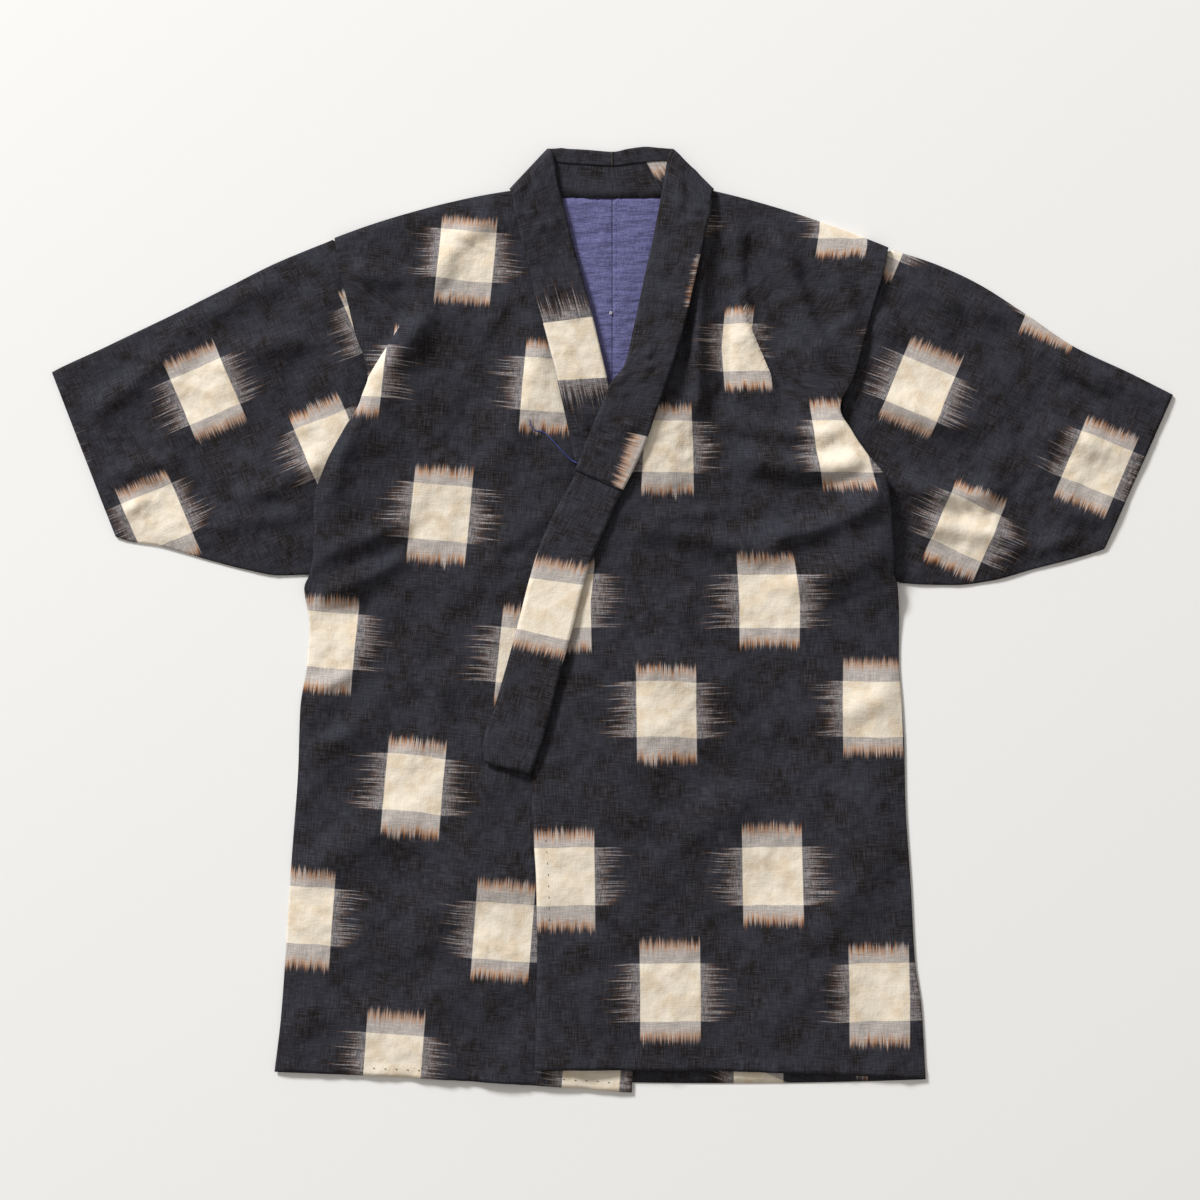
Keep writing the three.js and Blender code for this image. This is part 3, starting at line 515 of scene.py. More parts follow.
# height on the table, row of the weave, place of the middle column, cloth drawn in to
LEFT_CHART = {"layer": "left", "turn": 0, "rows": [
    (-347, 0, 54, 1.0),
    (-82, 250, 50, 0.985),
    (17, 352, 49, 1.0),
    (162, 500, 52, 0.82),
    (254, 602, 49, 0.76),
    (377, 750, 55, 0.84),
]}
RIGHT_CHART = {"layer": "right", "turn": 4.7, "rows": [
    (-428, 0, -170, 0.95),
    (-167, 250, -172, 0.96),
    (86, 500, -168, 0.97),
    (215, 626, -166, 0.93),
    (327, 750, -163, 0.92),
]}
# The sleeves' charts: the middle of one mark lies at the first place, and the cloth is turned
RIGHT_SLEEVE_CHART = {"turn": -23, "rows": [
    (103, -250, -266, 0.9),
    (345.5, 0, -266, 0.9),
    (555.5, 250, -266, 0.9),
]}
LEFT_SLEEVE_CHART = {"turn": 23, "rows": [(95, -236, 179.5, 0.92), (525, 236, 179.5, 0.92)]}
# How much longer the hidden back's cloth is than it looks, which brings its marks to the hem
BACK_SLACK = {"left": 1.05, "right": 1.0}
for chart in (LEFT_CHART, RIGHT_CHART, RIGHT_SLEEVE_CHART, LEFT_SLEEVE_CHART):
    print("chart turned", chart["turn"], "degrees, with", len(chart["rows"]), "rows")

# %% [markdown]
# A body length is one strip of cloth, from the front hem over the shoulder to the back hem, with
# no seam at the shoulder. Under the arm the front's side turns under itself over the sleeve.
# It could be two panels, but as one grid the weave runs over the shoulder without a break.

# %% The body lengths
FRONT_COLUMNS = 90
COLLAR_TUCK = 6.0
COLLAR_END_Y = -141.0
HEM_WIDTH = 11.0
HEM_HEIGHT = 0.7
# Across the side edge: distance when flat; distance and height when turned under, in mm
SIDE_EDGE = np.array([
    (0.0, 12.0, 0.0),
    (1.2, 6.0, 0.0),
    (2.4, 2.2, 0.1),
    (3.6, 0.5, 0.8),
    (4.8, 0.0, 1.7),
    (6.0, 0.7, 2.6),
    (7.5, 2.8, 3.2),
])
FOLD_HEIGHT = 3.4


def columns_of(length):
    """The side edge's own columns, then even steps to the far end: one row per section."""
    edge = SIDE_EDGE[:, 0]
    share = np.linspace(0, 1, FRONT_COLUMNS)[1:]
    rest = edge[-1] + (length[:, None] - edge[-1]) * share
    return np.concatenate([np.tile(edge, (len(length), 1)), rest], axis=1)


def strip(rows, extra=0.0):
    """Plan points of sections: from side to middle, bowed, and the distances along them."""
    side, middle = rows[:, 0:2], rows[:, 2:4]
    run = middle - side
    length = np.hypot(run[:, 0], run[:, 1])
    inward = run / length[:, None]
    distance = columns_of(length + extra)
    share = np.clip(distance / length[:, None], 0, 1)
    bow = rows[:, 5, None] * 4 * share * (1 - share)
    x = side[:, 0, None] + inward[:, 0, None] * distance
    y = side[:, 1, None] + inward[:, 1, None] * distance + bow
    return x, y, distance, inward


def front_of(table, layer):
    """The front's face: drape map, gap, thickness and relief, turned under at the side."""
    rows = through(table)
    under_collar = smoothstep((rows[:, 3] - COLLAR_END_Y) / 8)
    x, y, distance, inward = strip(rows, COLLAR_TUCK * under_collar)
    turned = np.clip(rows[:, 4], 0, 1)[:, None]
    bed = drape_map()
    from_edge = np.minimum(distance, distance[:, -1:] - distance)
    loft = 1 - np.exp(-from_edge / 12)
    from_shoulder = np.hypot(x - x[-1], y - y[-1])
    loft = loft * (0.25 + 0.75 * smoothstep(from_shoulder / 30))
    rise = FOLD_HEIGHT * turned * (1 - smoothstep((distance - 12) / 40))
    from_hem = np.hypot(x - x[0], y - y[0])
    from_front_edge = distance[:, -1:] - distance + 400 * under_collar[:, None]
    hem = smoothstep((HEM_WIDTH - np.minimum(from_hem, from_front_edge)) / 2)
    run = np.concatenate([[0], np.cumsum(np.hypot(np.diff(rows[:, 0]), np.diff(rows[:, 1])))])
    at_armhole = smoothstep((rows[:, 1] - 90) / 20)[:, None]
    puckers = at_armhole * pucker(run[:, None], distance)
    z = sampled(bed, x, y) + GAP + CLOTH + relief(layer, x, y) * loft
    z = z + rise + HEM_HEIGHT * hem + puckers
    edge = len(SIDE_EDGE)
    fold_x = rows[:, 0, None] + inward[:, 0, None] * SIDE_EDGE[:, 1]
    fold_y = rows[:, 1, None] + inward[:, 1, None] * SIDE_EDGE[:, 1]
    fold_z = sampled(bed, fold_x, fold_y) + GAP + SIDE_EDGE[:, 2] + CLOTH * (SIDE_EDGE[:, 2] > 1.7)
    x[:, :edge] += (fold_x - x[:, :edge]) * turned
    y[:, :edge] += (fold_y - y[:, :edge]) * turned
    z[:, :edge] += (fold_z - z[:, :edge]) * turned
    return np.stack([x, y, z], axis=-1)


def back_of(table):
    """The back's face lies on the table."""
    rows = through(table, step=9.0)
    rows[:, 2] += np.sign(rows[:, 0]) * 0.25
    x, y, _, _ = strip(rows)
    return np.stack([x, y, np.zeros_like(x)], axis=-1)


def body_length(name, front, shoulder, back, chart):
    """Front, a half round over the shoulder's line, and back, as one grid."""
    line = np.array([shoulder], dtype=float)
    x, y, _, inward = strip(line)
    down = np.array([inward[0, 1], -inward[0, 0]]) * np.sign(inward[0, 0])
    radius = front[-1, :, 2] / 2
    arcs = []
    for angle in (55, 20, -20, -55):
        reach = radius * (1 - math.cos(math.radians(angle)))
        height = radius * (1 + math.sin(math.radians(angle)))
        arcs.append(np.stack([x[0] + down[0] * reach, y[0] + down[1] * reach, height], axis=-1))
    points = np.concatenate([front, np.array(arcs), back])
    places = place(chart, points[..., 0], points[..., 1])
    top = len(front)
    start = places[top - 1]
    fallen = np.hypot(points[top:, :, 0] - front[-1, :, 0], points[top:, :, 1] - front[-1, :, 1])
    drawn = chart["rows"][-1][3]
    places[top:, :, 0] = start[:, 0] + (points[top:, :, 0] - front[-1, :, 0]) / drawn
    places[top:, :, 1] = start[:, 1] + fallen * BACK_SLACK[chart["layer"]]
    return cloth_piece(name, points, places, upward=(5, 30))


right_back = back_of(RIGHT_BACK)
left_back = back_of(LEFT_BACK)
add_to_pile(right_back + [0, 0, CLOTH])
add_to_pile(left_back + [0, 0, CLOTH])
print("back laid, top at", pile.max(), "mm")

# %% [markdown]
# A sleeve is a tube, pressed flat: its back on the table, its front over it, folded at the top,
# and joined under the arm. It is a grid of rings from the cuff to the armhole. The front runs in
# under the body a little way, as it does where the body's fold lies over it.

# %% The sleeves
SLEEVE_COLUMNS = 76
ARMHOLE_TUCK = 50.0
ARMHOLE_FROM = 0.55
# top_x, top_y, low_x, low_y of each ring
RIGHT_SLEEVE = [
    (-522.5, 231, -463, 77.5),
    (-512, 236.5, -448.5, 73),
    (-477, 252.5, -425.5, 70),
    (-453, 264, -410, 66),
    (-407, 286, -375, 55.5),
    (-360, 309.5, -342, 47),
    (-314, 332.5, -311, 41.5),
    (-260.8, 354.5, -280, 42.5),
]
LEFT_SLEEVE = [
    (522.5, 210, 458.5, 66),
    (503, 220, 444, 61),
    (483, 230, 428, 56.5),
    (431, 254.5, 393, 47.5),
    (384, 286, 353, 36.5),
    (338, 315, 319, 32.5),
    (298, 333, 290, 33),
    (260, 345, 268, 34.5),
]


def sleeve(name, table, layer, side, chart):
    """Rings: the front over the drape map, three points round each fold, and the back."""
    rows = through(table)
    top, low = rows[:, 0:2], rows[:, 2:4]
    run = low - top
    length = np.hypot(run[:, 0], run[:, 1])
    down = run / length[:, None]
    share = np.linspace(0, 1, SLEEVE_COLUMNS)
    inset = 2.5 / length[:, None]
    t = inset + (1 - 2 * inset) * share
    way = np.linspace(0, 1, len(rows))
    tuck = -side * ARMHOLE_TUCK * smoothstep((way - ARMHOLE_FROM) / (1 - ARMHOLE_FROM))
    under = 0.1 + 0.9 * np.sin(math.pi * t) ** 1.6
    x = top[:, 0, None] + run[:, 0, None] * t + tuck[:, None] * under
    y = top[:, 1, None] + run[:, 1, None] * t
    from_edge = np.minimum(t, 1 - t) * length[:, None]
    from_cuff = np.hypot(x - x[0], y - y[0])
    loft = (1 - np.exp(-from_edge / 14)) * (0.35 + 0.65 * smoothstep(from_cuff / 40))
    bed = np.maximum(sampled(drape_map(), x, y), CLOTH)
    hem = smoothstep((HEM_WIDTH - from_cuff) / 2)
    from_armhole = np.hypot(x - x[-1], y - y[-1]) - 0.6 * ARMHOLE_TUCK
    puckers = pucker(t * length[:, None], np.maximum(from_armhole, 0))
    puckers = puckers * smoothstep(from_armhole / 8)
    z = bed + GAP + CLOTH + relief(layer, x, y) * loft + HEM_HEIGHT * hem + puckers
    front = np.stack([x, y, z], axis=-1)
    back_x = top[:, 0, None] + run[:, 0, None] * t
    back = np.stack([back_x, y, np.zeros_like(x)], axis=-1)
    folds = []
    for at, sign, near in ((top, -1, z[:, 0]), (low, 1, z[:, -1])):
        turn = []
        for angle in (45, 0, -45):
            radius = near / 2
            inward = (1 - math.cos(math.radians(angle))) * radius
            height = radius * (1 + math.sin(math.radians(angle)))
            turn.append(np.stack([
                at[:, 0] - sign * down[:, 0] * inward,
                at[:, 1] - sign * down[:, 1] * inward,
                height,
            ], axis=-1))
        folds.append(np.stack(turn, axis=1))
    at_top, at_low = folds
    around = [at_top[:, ::-1][:, 1:], front, at_low, back[:, ::-1], at_top[:, 2:]]
    points = np.concatenate(around, axis=1)
    places = place(chart, points[..., 0], points[..., 1])
    behind = slice(2 + SLEEVE_COLUMNS + 2, None)
    edge = place(chart, low[:, 0], low[:, 1])[:, None, :]
    places[:, behind, 1] = 2 * edge[..., 1] - places[:, behind, 1]
    piece = cloth_piece(name, points, places, ring=True, upward=(8, 20))
    add_to_pile(front)
    return piece, front


print("sleeve rings", len(through(RIGHT_SLEEVE)), len(through(LEFT_SLEEVE)))

# %% [markdown]
# The yoke lining shows in the neck: two plain pieces of blue-violet cotton, joined at the middle
# of the back. They lie on the back, so their form is a little ripple and a seam between them.
# The rest of the lining is hidden under the fronts, so it is left out.

# %% The yoke lining
YOKE_TOP, YOKE_LOW = 391.0, 196.0
YOKE_TOP_HALF, YOKE_LOW_HALF = 66.0, 40.0
YOKE_UNDER_COLLAR = 3.0
YOKE_SEAM = 0.1  # how far each half ends from the middle
yoke_bed = drape_map()


def yoke_half(name, side):
    """Straight rows from the seam outwards, sunk beside the seam."""
    share = np.linspace(0, 1, 48)[:, None]
    across = np.linspace(0, 1, 20)[None, :] ** 1.3
    top = YOKE_TOP + YOKE_UNDER_COLLAR
    y = top + (YOKE_LOW - top) * share + 0 * across
    half = YOKE_TOP_HALF + (YOKE_LOW_HALF - YOKE_TOP_HALF) * share
    x = side * (YOKE_SEAM + (half - YOKE_SEAM) * across)
    away = np.abs(x)
    z = sampled(yoke_bed, x, y) + GAP + CLOTH
    z = z + relief("yoke", x, y) * (0.7 + 0.3 * smoothstep(away / 5))
    points = np.stack([x, y, z], axis=-1)
    places = np.stack([x, y], axis=-1)
    piece = cloth_piece(name, points, places, upward=(10, 10))
    add_to_pile(points)
    return piece


yoke_right = yoke_half("yoke_lining_right_cloth", -1)
yoke_left = yoke_half("yoke_lining_left_cloth", 1)

# %% [markdown]
# Next come the sleeves, then the wearer's right front with its part of the collar, and the left
# front over it. The collar is one strip, folded lengthwise: it shows its outer side on the
# fronts, and turns over at both sides of the neck, so that its inner side shows behind the neck.

# %% The collar's sections
COLLAR_HALF = 0.9  # half the thickness of the folded band
COLLAR_CLOTH = 0.55
COVER_CLOTH = 0.6
COVER_GAP = 0.25
COVER_OUT = COLLAR_HALF + COVER_GAP + COVER_CLOTH
COLLAR_MIDDLE = COVER_OUT + GAP
# seam_x, seam_y, free_x, free_y, roll: 0 with the outer side up, 180 with the inner side up
COLLAR_BAND = [
    (-76, -143, -118, -133, 0),
    (-70, -127, -120, -117, 0),
    (-60, -95, -108, -77, 0),
    (-49, -52, -97, -39, 0),
    (-38, -12, -87, -2, 0),
    (-27, 31, -77, 37, 0),
    (-19, 57, -68, 67, 0),
    (-8, 82, -54, 99, 0),
    (8, 117, -34, 136, 0),
    (19, 138, -26, 156, 0),
    (31, 165, -17, 178, 0),
    (43, 200, -6, 204, 0),
    (51, 223, 0, 219, 0),
    (56, 238, 13, 236, 0),
    (66, 271, 22, 272, 0),
    (77, 319, 32, 319, 0),
    (86, 358, 41, 360, 0),
    (92, 385, 49, 403, 0),
    (92, 395, 54, 431, 0),
    (94.5, 401, 58, 438, 90),
    (86, 400, 48, 438, 180),
    (63, 394, 33, 439, 180),
    (35, 392, 16, 437, 180),
    (0, 391.6, 0, 434, 180),
    (-35, 392, -26, 436, 180),
    (-63, 394, -43, 437, 180),
    (-86, 400, -50, 438, 180),
    (-95.5, 401, -61, 438, 90),
    (-93, 394, -57, 431, 0),
    (-92, 384, -53, 406, 0),
    (-87, 363, -46, 379, 0),
    (-79, 333, -38, 346, 0),
    (-71, 299, -28, 310, 0),
    (-63, 270, -19, 275, 0),
    (-53, 230, -9, 233, 0),
    (-43, 186, 1, 190, 0),
    (-34, 144, 10, 149, 0),
    (-19, 79, 25, 85, 0),
    (-2, 0, 42, 7, 0),
    (13, -74, 57, -67, 0),
    (27, -141, 70, -134, 0),
]
band = through(COLLAR_BAND, step=4.0)
first_neck = int(np.argmax(band[:, 4] > 160))
last_neck = len(band) - 1 - int(np.argmax(band[::-1, 4] > 160))
band_middle = (band[:, 0:2] + band[:, 2:4]) / 2
band_run = np.concatenate([[0], np.cumsum(np.hypot(*np.diff(band_middle, axis=0).T))])
print("collar sections", len(band), "length", round(band_run[-1]), "mm")

# %% [markdown]
# The collar's small cross wrinkles come from the turnings inside it. They are short waves along
# its length, whose height itself comes and goes.

# %% The collar's levels and wrinkles
COVER_WRINKLE = 2.3  # the height of the cover's cross wrinkles, in mm
levels = np.zeros((len(band), 2))


def rest_collar(first, last):
    """Each section rests straight from seam to free edge on the drape map, softened along."""
    part = band[first:last]
    t = np.linspace(0, 1, 7)
    x = part[:, 0, None] * (1 - t) + part[:, 2, None] * t
    y = part[:, 1, None] * (1 - t) + part[:, 3, None] * t
    heights = sampled(drape_map(reach=2, soft=2), x, y)
    straight = heights[:, :1] * (1 - t) + heights[:, -1:] * t
    lift = np.maximum(0, (heights - straight).max(axis=1))
    ends = np.stack([heights[:, 0] + lift, heights[:, -1] + lift], axis=1)
    kernel = np.ones(5) / 5
    for k in (0, 1):
        padded = np.pad(ends[:, k], 4, mode="edge")
        highest = np.maximum.reduce([padded[i:len(padded) - 4 + i] for i in range(5)])
        ends[:, k] = np.convolve(highest, kernel, mode="same")[2:-2]
    levels[first:last] = ends + COLLAR_MIDDLE


def collar_points(first, last, t, up, beyond, wrinkle):
    """Along the section by t and beyond, and up from its middle, turned by the roll."""
    part = band[first:last]
    dx, dy = part[:, 2] - part[:, 0], part[:, 3] - part[:, 1]
    width = np.hypot(dx, dy)[:, None]
    dx, dy = dx[:, None] / width, dy[:, None] / width
    roll = np.radians(part[:, 4])[:, None]
    s = band_run[first:last, None]
    waves = np.maximum(0, ripples(s + 12 * t, 30 * t, 17, 5))
    waves = waves * (0.6 + 0.4 * ripples(s, 9 * t, 60, 6))
    lofted = up + wrinkle * np.maximum(0, waves) * np.sin(math.pi * np.clip(t, 0, 1)) ** 0.5
    side = np.sign(part[:, 0])[:, None] * np.sign(dy)
    out = side * np.sin(roll) * (lofted - COVER_OUT)
    level = levels[first:last, :1] * (1 - t) + levels[first:last, 1:] * t
    height = level + (COLLAR_MIDDLE - level) * (1 - np.cos(roll)) / 2
    reach = t * width + beyond
    return np.stack([
        part[:, 0, None] + dx * reach + out * dy,
        part[:, 1, None] + dy * reach - out * dx,
        height + np.cos(roll) * lofted,
    ], axis=-1)


def folded_profile(half, edge, turned_to, steps=14):
    """Outer side from the seam edge to the free edge, a half round, and the inner side back.
    Columns: t, up, beyond, and the share of the wrinkles."""
    outer = np.linspace(0, 1, steps)
    rows = [(t, half, 0, 1) for t in outer]
    for angle in np.radians((60, 20, -20, -60)):
        rows.append((1, half * math.sin(angle), edge + half * math.cos(angle), 0))
    rows += [(t, -half, 0, 0) for t in np.linspace(1, turned_to, steps // 2)]
    return np.array(rows, dtype=float).T


def collar_piece(name, first, last, profile, thickness, wrinkle, places_of):
    """The profile carried along the band. places_of turns the way along the band and the way
    across the cloth into places in the weave."""
    t, up, beyond, share = (value[None, :] for value in profile)
    points = collar_points(first, last, t, up, beyond, wrinkle * share)
    width = np.hypot(*(band[first:last, 2:4] - band[first:last, 0:2]).T)
    points[..., 2] = np.maximum(points[..., 2], 1.1 * thickness)
    step = np.hypot(np.diff(profile[0]) * width.mean(), np.diff(profile[1]))
    across = np.concatenate([[0], np.cumsum(np.hypot(step, np.diff(profile[2])))])
    along, across = np.broadcast_arrays(band_run[first:last, None], across[None, :])
    return cloth_piece(name, points, places_of(along, across), thickness)


print("the cover's face lies", COVER_OUT, "mm over the band's middle")

# %% [markdown]
# The order matters, because each piece rests on what lies there before it: the collar behind the
# neck, both sleeves, the right front with its collar, the left front, and its collar on top.

# %% Lay the neck, the sleeves and the right front
rest_collar(first_neck, last_neck + 1)
neck_t = np.linspace(0, 1, 12)[None, :]
add_to_pile(collar_points(first_neck, last_neck + 1, neck_t, -COVER_OUT, 0.0, 0.0))
sleeve_right, right_sleeve_front = sleeve(
    "sleeve_right_cloth", RIGHT_SLEEVE, "right_sleeve", -1, RIGHT_SLEEVE_CHART
)
sleeve_left, left_sleeve_front = sleeve(
    "sleeve_left_cloth", LEFT_SLEEVE, "left_sleeve", 1, LEFT_SLEEVE_CHART
)
right_front = front_of(RIGHT_FRONT, "right")
add_to_pile(right_front)
rest_collar(last_neck + 1, len(band))
add_to_pile(collar_points(last_neck + 1, len(band), neck_t, COVER_OUT, 0.0, COVER_WRINKLE))

# %% Lay the left front and make the pieces
left_front = front_of(LEFT_FRONT, "left")
add_to_pile(left_front)
rest_collar(0, first_neck)
body_right = body_length("body_right_cloth", right_front, RIGHT_SHOULDER, right_back, RIGHT_CHART)
body_left = body_length("body_left_cloth", left_front, LEFT_SHOULDER, left_back, LEFT_CHART)

# %% [markdown]
# The band is cut along the cloth, so the warp runs with it. Its cover is cut across the cloth,
# in two halves that meet behind the neck, so there the squares' ragged ends point sideways.

# %% Make the collar and its cover
def run_at(y, first, last):
    """The way along the band at which the middle of the band passes a height on the table."""
    return float(band_run[first + int(np.argmin(np.abs(band_middle[first:last, 1] - y)))])


BAND_MARK_AT = run_at(12.0, 0, first_neck)
COVER_LEFT_MARK_AT = run_at(153.0, 0, first_neck)
COVER_RIGHT_MARK_AT = run_at(252.0, last_neck, len(band))
NECK_MIDDLE = run_at(412.8, first_neck, last_neck)
BAND_MIDDLE = 26.0
COVER_DRAWN = 0.88  # how much the cover's left half is drawn in along the band
LEFT_MARK_UNDER = 32.0  # how far the left marks' middle lies under the seam
MARK_HALF = 28.0
NECK_MARK_X = 38.0
NECK_MARK_UP = 31.0
neck_x = band_middle[first_neck:last_neck, 0]
NECK_MARK_EDGE = float(band_run[first_neck + int(np.argmin(np.abs(neck_x - NECK_MARK_X)))])


def band_places(along, across):
    """Warp along the band, with one mark in the middle of its width. Behind the neck another
    mark peeps out under the cover's edge, with its ragged end towards the lining."""
    behind = along > band_run[first_neck]
    u = np.where(behind, NECK_MARK_EDGE - along - MARK_HALF, across - BAND_MIDDLE)
    v = np.where(behind, across - NECK_MARK_UP, along - BAND_MARK_AT)
    return np.stack([u, v], axis=-1)


def cover_places(along, across):
    """Weft along the band. On the left the marks lie mostly under the seam, on the right one
    lies in the middle of the width."""
    left = along < NECK_MIDDLE
    from_left = (along - COVER_LEFT_MARK_AT) / COVER_DRAWN
    from_right = along - COVER_RIGHT_MARK_AT
    left_v = across + LEFT_MARK_UNDER
    left_v = left_v - 0.12 * np.clip(from_left, -30, 30) + 0.06 * np.clip(from_left, 0, 165)
    right_v = across - BAND_MIDDLE
    u, v = np.where(left, from_left, from_right), np.where(left, left_v, right_v)
    return np.stack([u, v], axis=-1)


def leave_plain(piece, rows, plain):
    """The second material on the faces that start in the rows named plain."""
    mesh = piece.data
    starts = np.empty(len(mesh.polygons), dtype=int)
    mesh.polygons.foreach_get("loop_start", starts)
    corners = np.empty(len(mesh.loops), dtype=int)
    mesh.loops.foreach_get("vertex_index", corners)
    half = len(mesh.vertices) // 2
    row = (corners[starts] % half) // (half // rows)
    mesh.polygons.foreach_set("material_index", plain[row].astype(int))


cover_first = int(np.argmax(band[:, 1] >= 117.0))
right_part = np.arange(len(band)) > last_neck
cover_last = int(np.argmax(right_part & (band[:, 1] <= 144.0)))
band_profile = folded_profile(COLLAR_HALF, -0.9, 0.03)
cover_profile = folded_profile(COVER_OUT, 0.1, 0.74, 18)
collar = collar_piece("collar_cloth", 0, len(band), band_profile, COLLAR_CLOTH, 0.0, band_places)
cover = collar_piece(
    "collar_cover_cloth", cover_first, cover_last, cover_profile, COVER_CLOTH, COVER_WRINKLE,
    cover_places,
)
near_neck_mark = np.abs(band_run - NECK_MARK_EDGE) < 45
band_plain = (band_run - BAND_MARK_AT > 120) & ~near_neck_mark
cover_plain = (band_run > NECK_MIDDLE) & (band_run < COVER_RIGHT_MARK_AT - 100)
print("rows without marks: band", int(band_plain.sum()), "cover", int(cover_plain.sum()))

# %% [markdown]
# The jacket is sewn by hand. The hems are held by running stitches that show as small dark
# dots, mostly where they cross a cream square. The lining's middle seam has a row of stitches
# beside it and a white knot, and one blue thread end hangs from the collar's seam. Each stitch
# is a short bent tube with narrow ends, laid on the cloth's own points. Dots in the material
# would be simpler, but would not stand up from the cloth.

# %% Sewing
def along_path(path, spacing, start=4.0):
    """Places and directions at even steps along a line of points."""
    run = np.concatenate([[0], np.cumsum(np.linalg.norm(np.diff(path, axis=0), axis=1))])
    at = np.arange(start, run[-1] - start, spacing)
    places = np.stack([np.interp(at, run, path[:, i]) for i in range(3)], axis=-1)
    ahead = np.stack([np.interp(at + 0.5, run, path[:, i]) for i in range(3)], axis=-1)
    way = ahead - places
    return places, way / np.linalg.norm(way, axis=1)[:, None]


def tube(rings, radii, sides=6):
    """Rings round each point of each line: rings is lines x points x 3, radii per point.
    The ring lies across the line, one axis level with the table and one square to both."""
    way = np.gradient(rings, axis=1)
    way = way / np.linalg.norm(way, axis=2, keepdims=True)
    level = np.cross(way, [0, 0, 1.0])
    level = level / np.linalg.norm(level, axis=2, keepdims=True)
    square = np.cross(level, way)
    turn = np.arange(sides) * 2 * math.pi / sides
    offset = level[:, :, None] * np.cos(turn)[:, None] + square[:, :, None] * np.sin(turn)[:, None]
    return rings[:, :, None] + offset * np.asarray(radii)[None, :, None, None]


def thread_piece(name, vertices):
    """Joins tubes of lines x rings x sides x 3 into one mesh with closed ends."""
    lines, rings, sides = vertices.shape[:3]
    number = np.arange(lines * rings * sides).reshape(lines, rings, sides)
    beside = np.roll(number, -1, axis=2)
    corners = [number[:, :-1], beside[:, :-1], beside[:, 1:], number[:, 1:]]
    walls = np.stack(corners, axis=-1).reshape(-1, 4)
    faces = walls.tolist() + number[:, 0, ::-1].tolist() + number[:, -1].tolist()
    mesh = bpy.data.meshes.new(name)
    mesh.from_pydata(vertices.reshape(-1, 3) * MM, [], faces)
    mesh.polygons.foreach_set("use_smooth", np.ones(len(faces), dtype=bool))
    mesh.update()
    piece = bpy.data.objects.new(name, mesh)
    bpy.context.scene.collection.objects.link(piece)
    print(name, lines, "threads,", len(faces), "faces")
    return piece


def stitches(name, paths, spacing, length=2.2, radius=0.3):
    """Short tubes, highest in the middle, whose ends dip into the cloth."""
    found = [along_path(path, spacing) for path in paths]
    places = np.concatenate([places for places, _ in found])
    way = np.concatenate([way for _, way in found])
    share = np.linspace(-0.5, 0.5, 5)
    rings = places[:, None] + way[:, None] * (share * length)[None, :, None]
    rings[..., 2] += radius * (0.9 - 6 * share**2)[None, :]
    return thread_piece(name, tube(rings, radius * np.array([0.5, 0.95, 1, 0.95, 0.5])))


HEM_ROW = 2
EDGE_COLUMN = -4
open_front = left_front[:, -1, 1] < COLLAR_END_Y - 10
hem_paths = [front[HEM_ROW, 8:-2] for front in (right_front, left_front)]
hem_paths.append(left_front[open_front, EDGE_COLUMN])
hem_paths += [front[HEM_ROW] for front in (right_sleeve_front, left_sleeve_front)]
hem_stitches = stitches("hem_stitches", hem_paths, 10.5)
seam_y = np.linspace(392.0, 262.0, 60)
seam_x = np.full_like(seam_y, 3.2)
seam_path = np.stack([seam_x, seam_y, sampled(pile, seam_x, seam_y)], axis=-1)
lining_stitches = stitches("lining_stitches", [seam_path], 5.0, 2.4, 0.22)

# %% [markdown]
# The loose end lies over the right front from the collar's seam, in the few bends that the
# picture shows. The knot in the lining's seam is a thinner tube, wound round twice.

# %% The loose thread and the knot
LOOSE_THREAD = np.array([
    (-30.5, 144.5), (-38, 148.5), (-46, 156), (-53, 164), (-60, 172), (-65.5, 175.5),
    (-72, 176.5), (-76, 180), (-76.8, 186),
])
THREAD_RADIUS = 0.45
KNOT = (-1.5, 286.0)
KNOT_RADIUS = 0.35
at = np.linspace(0, len(LOOSE_THREAD) - 1, 60)
thread_x, thread_y = (np.interp(at, np.arange(len(LOOSE_THREAD)), way) for way in LOOSE_THREAD.T)
soft = np.ones(7) / 7
thread_x[3:-3] = np.convolve(thread_x, soft, "valid")
thread_y[3:-3] = np.convolve(thread_y, soft, "valid")
thread_z = sampled(pile, thread_x, thread_y) + THREAD_RADIUS + 0.25
line = np.stack([thread_x, thread_y, thread_z], axis=-1)[None]
loose_thread = thread_piece("loose_thread", tube(line, np.full(len(at), THREAD_RADIUS)))
turn = np.linspace(0, 4.2 * math.pi, 40)
out = 0.9 + 0.3 * np.cos(1.5 * turn)
lining_top = float(sampled(pile, np.array([KNOT[0]]), np.array([KNOT[1]]))[0])
knot_line = np.stack([
    KNOT[0] + out * np.cos(turn),
    KNOT[1] + out * np.sin(turn),
    lining_top + 0.7 + 0.4 * np.sin(1.5 * turn),
], axis=-1)[None]
lining_knot = thread_piece("lining_knot", tube(knot_line, np.full(len(turn), KNOT_RADIUS)))

# %% [markdown]
# Everything rides on the one body of the jacket. Each cloth stands for its CAD part, which it
# hides, and the table lists the flat size that it was cut to, in metres. The sewing is not in the
# CAD.

# %% Which CAD part each piece stands for, and what sheet it is
SEWING = [
    (hem_stitches, "kasuri_cloth"),
    (lining_stitches, "lining_cloth"),
    (loose_thread, "kasuri_cloth"),
    (lining_knot, "lining_cloth"),
]
for piece, slot in SEWING:
    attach(piece, "root")
BAND_STRETCHES = ("left_end", "left_neck", "back", "right_neck", "right_end")
COVER_STRETCHES = ("left_end", "left_neck", "back", "right")
COLLAR_NODES = ["collar_" + stretch for stretch in BAND_STRETCHES]
COVER_NODES = ["collar_cover_" + stretch for stretch in COVER_STRETCHES]
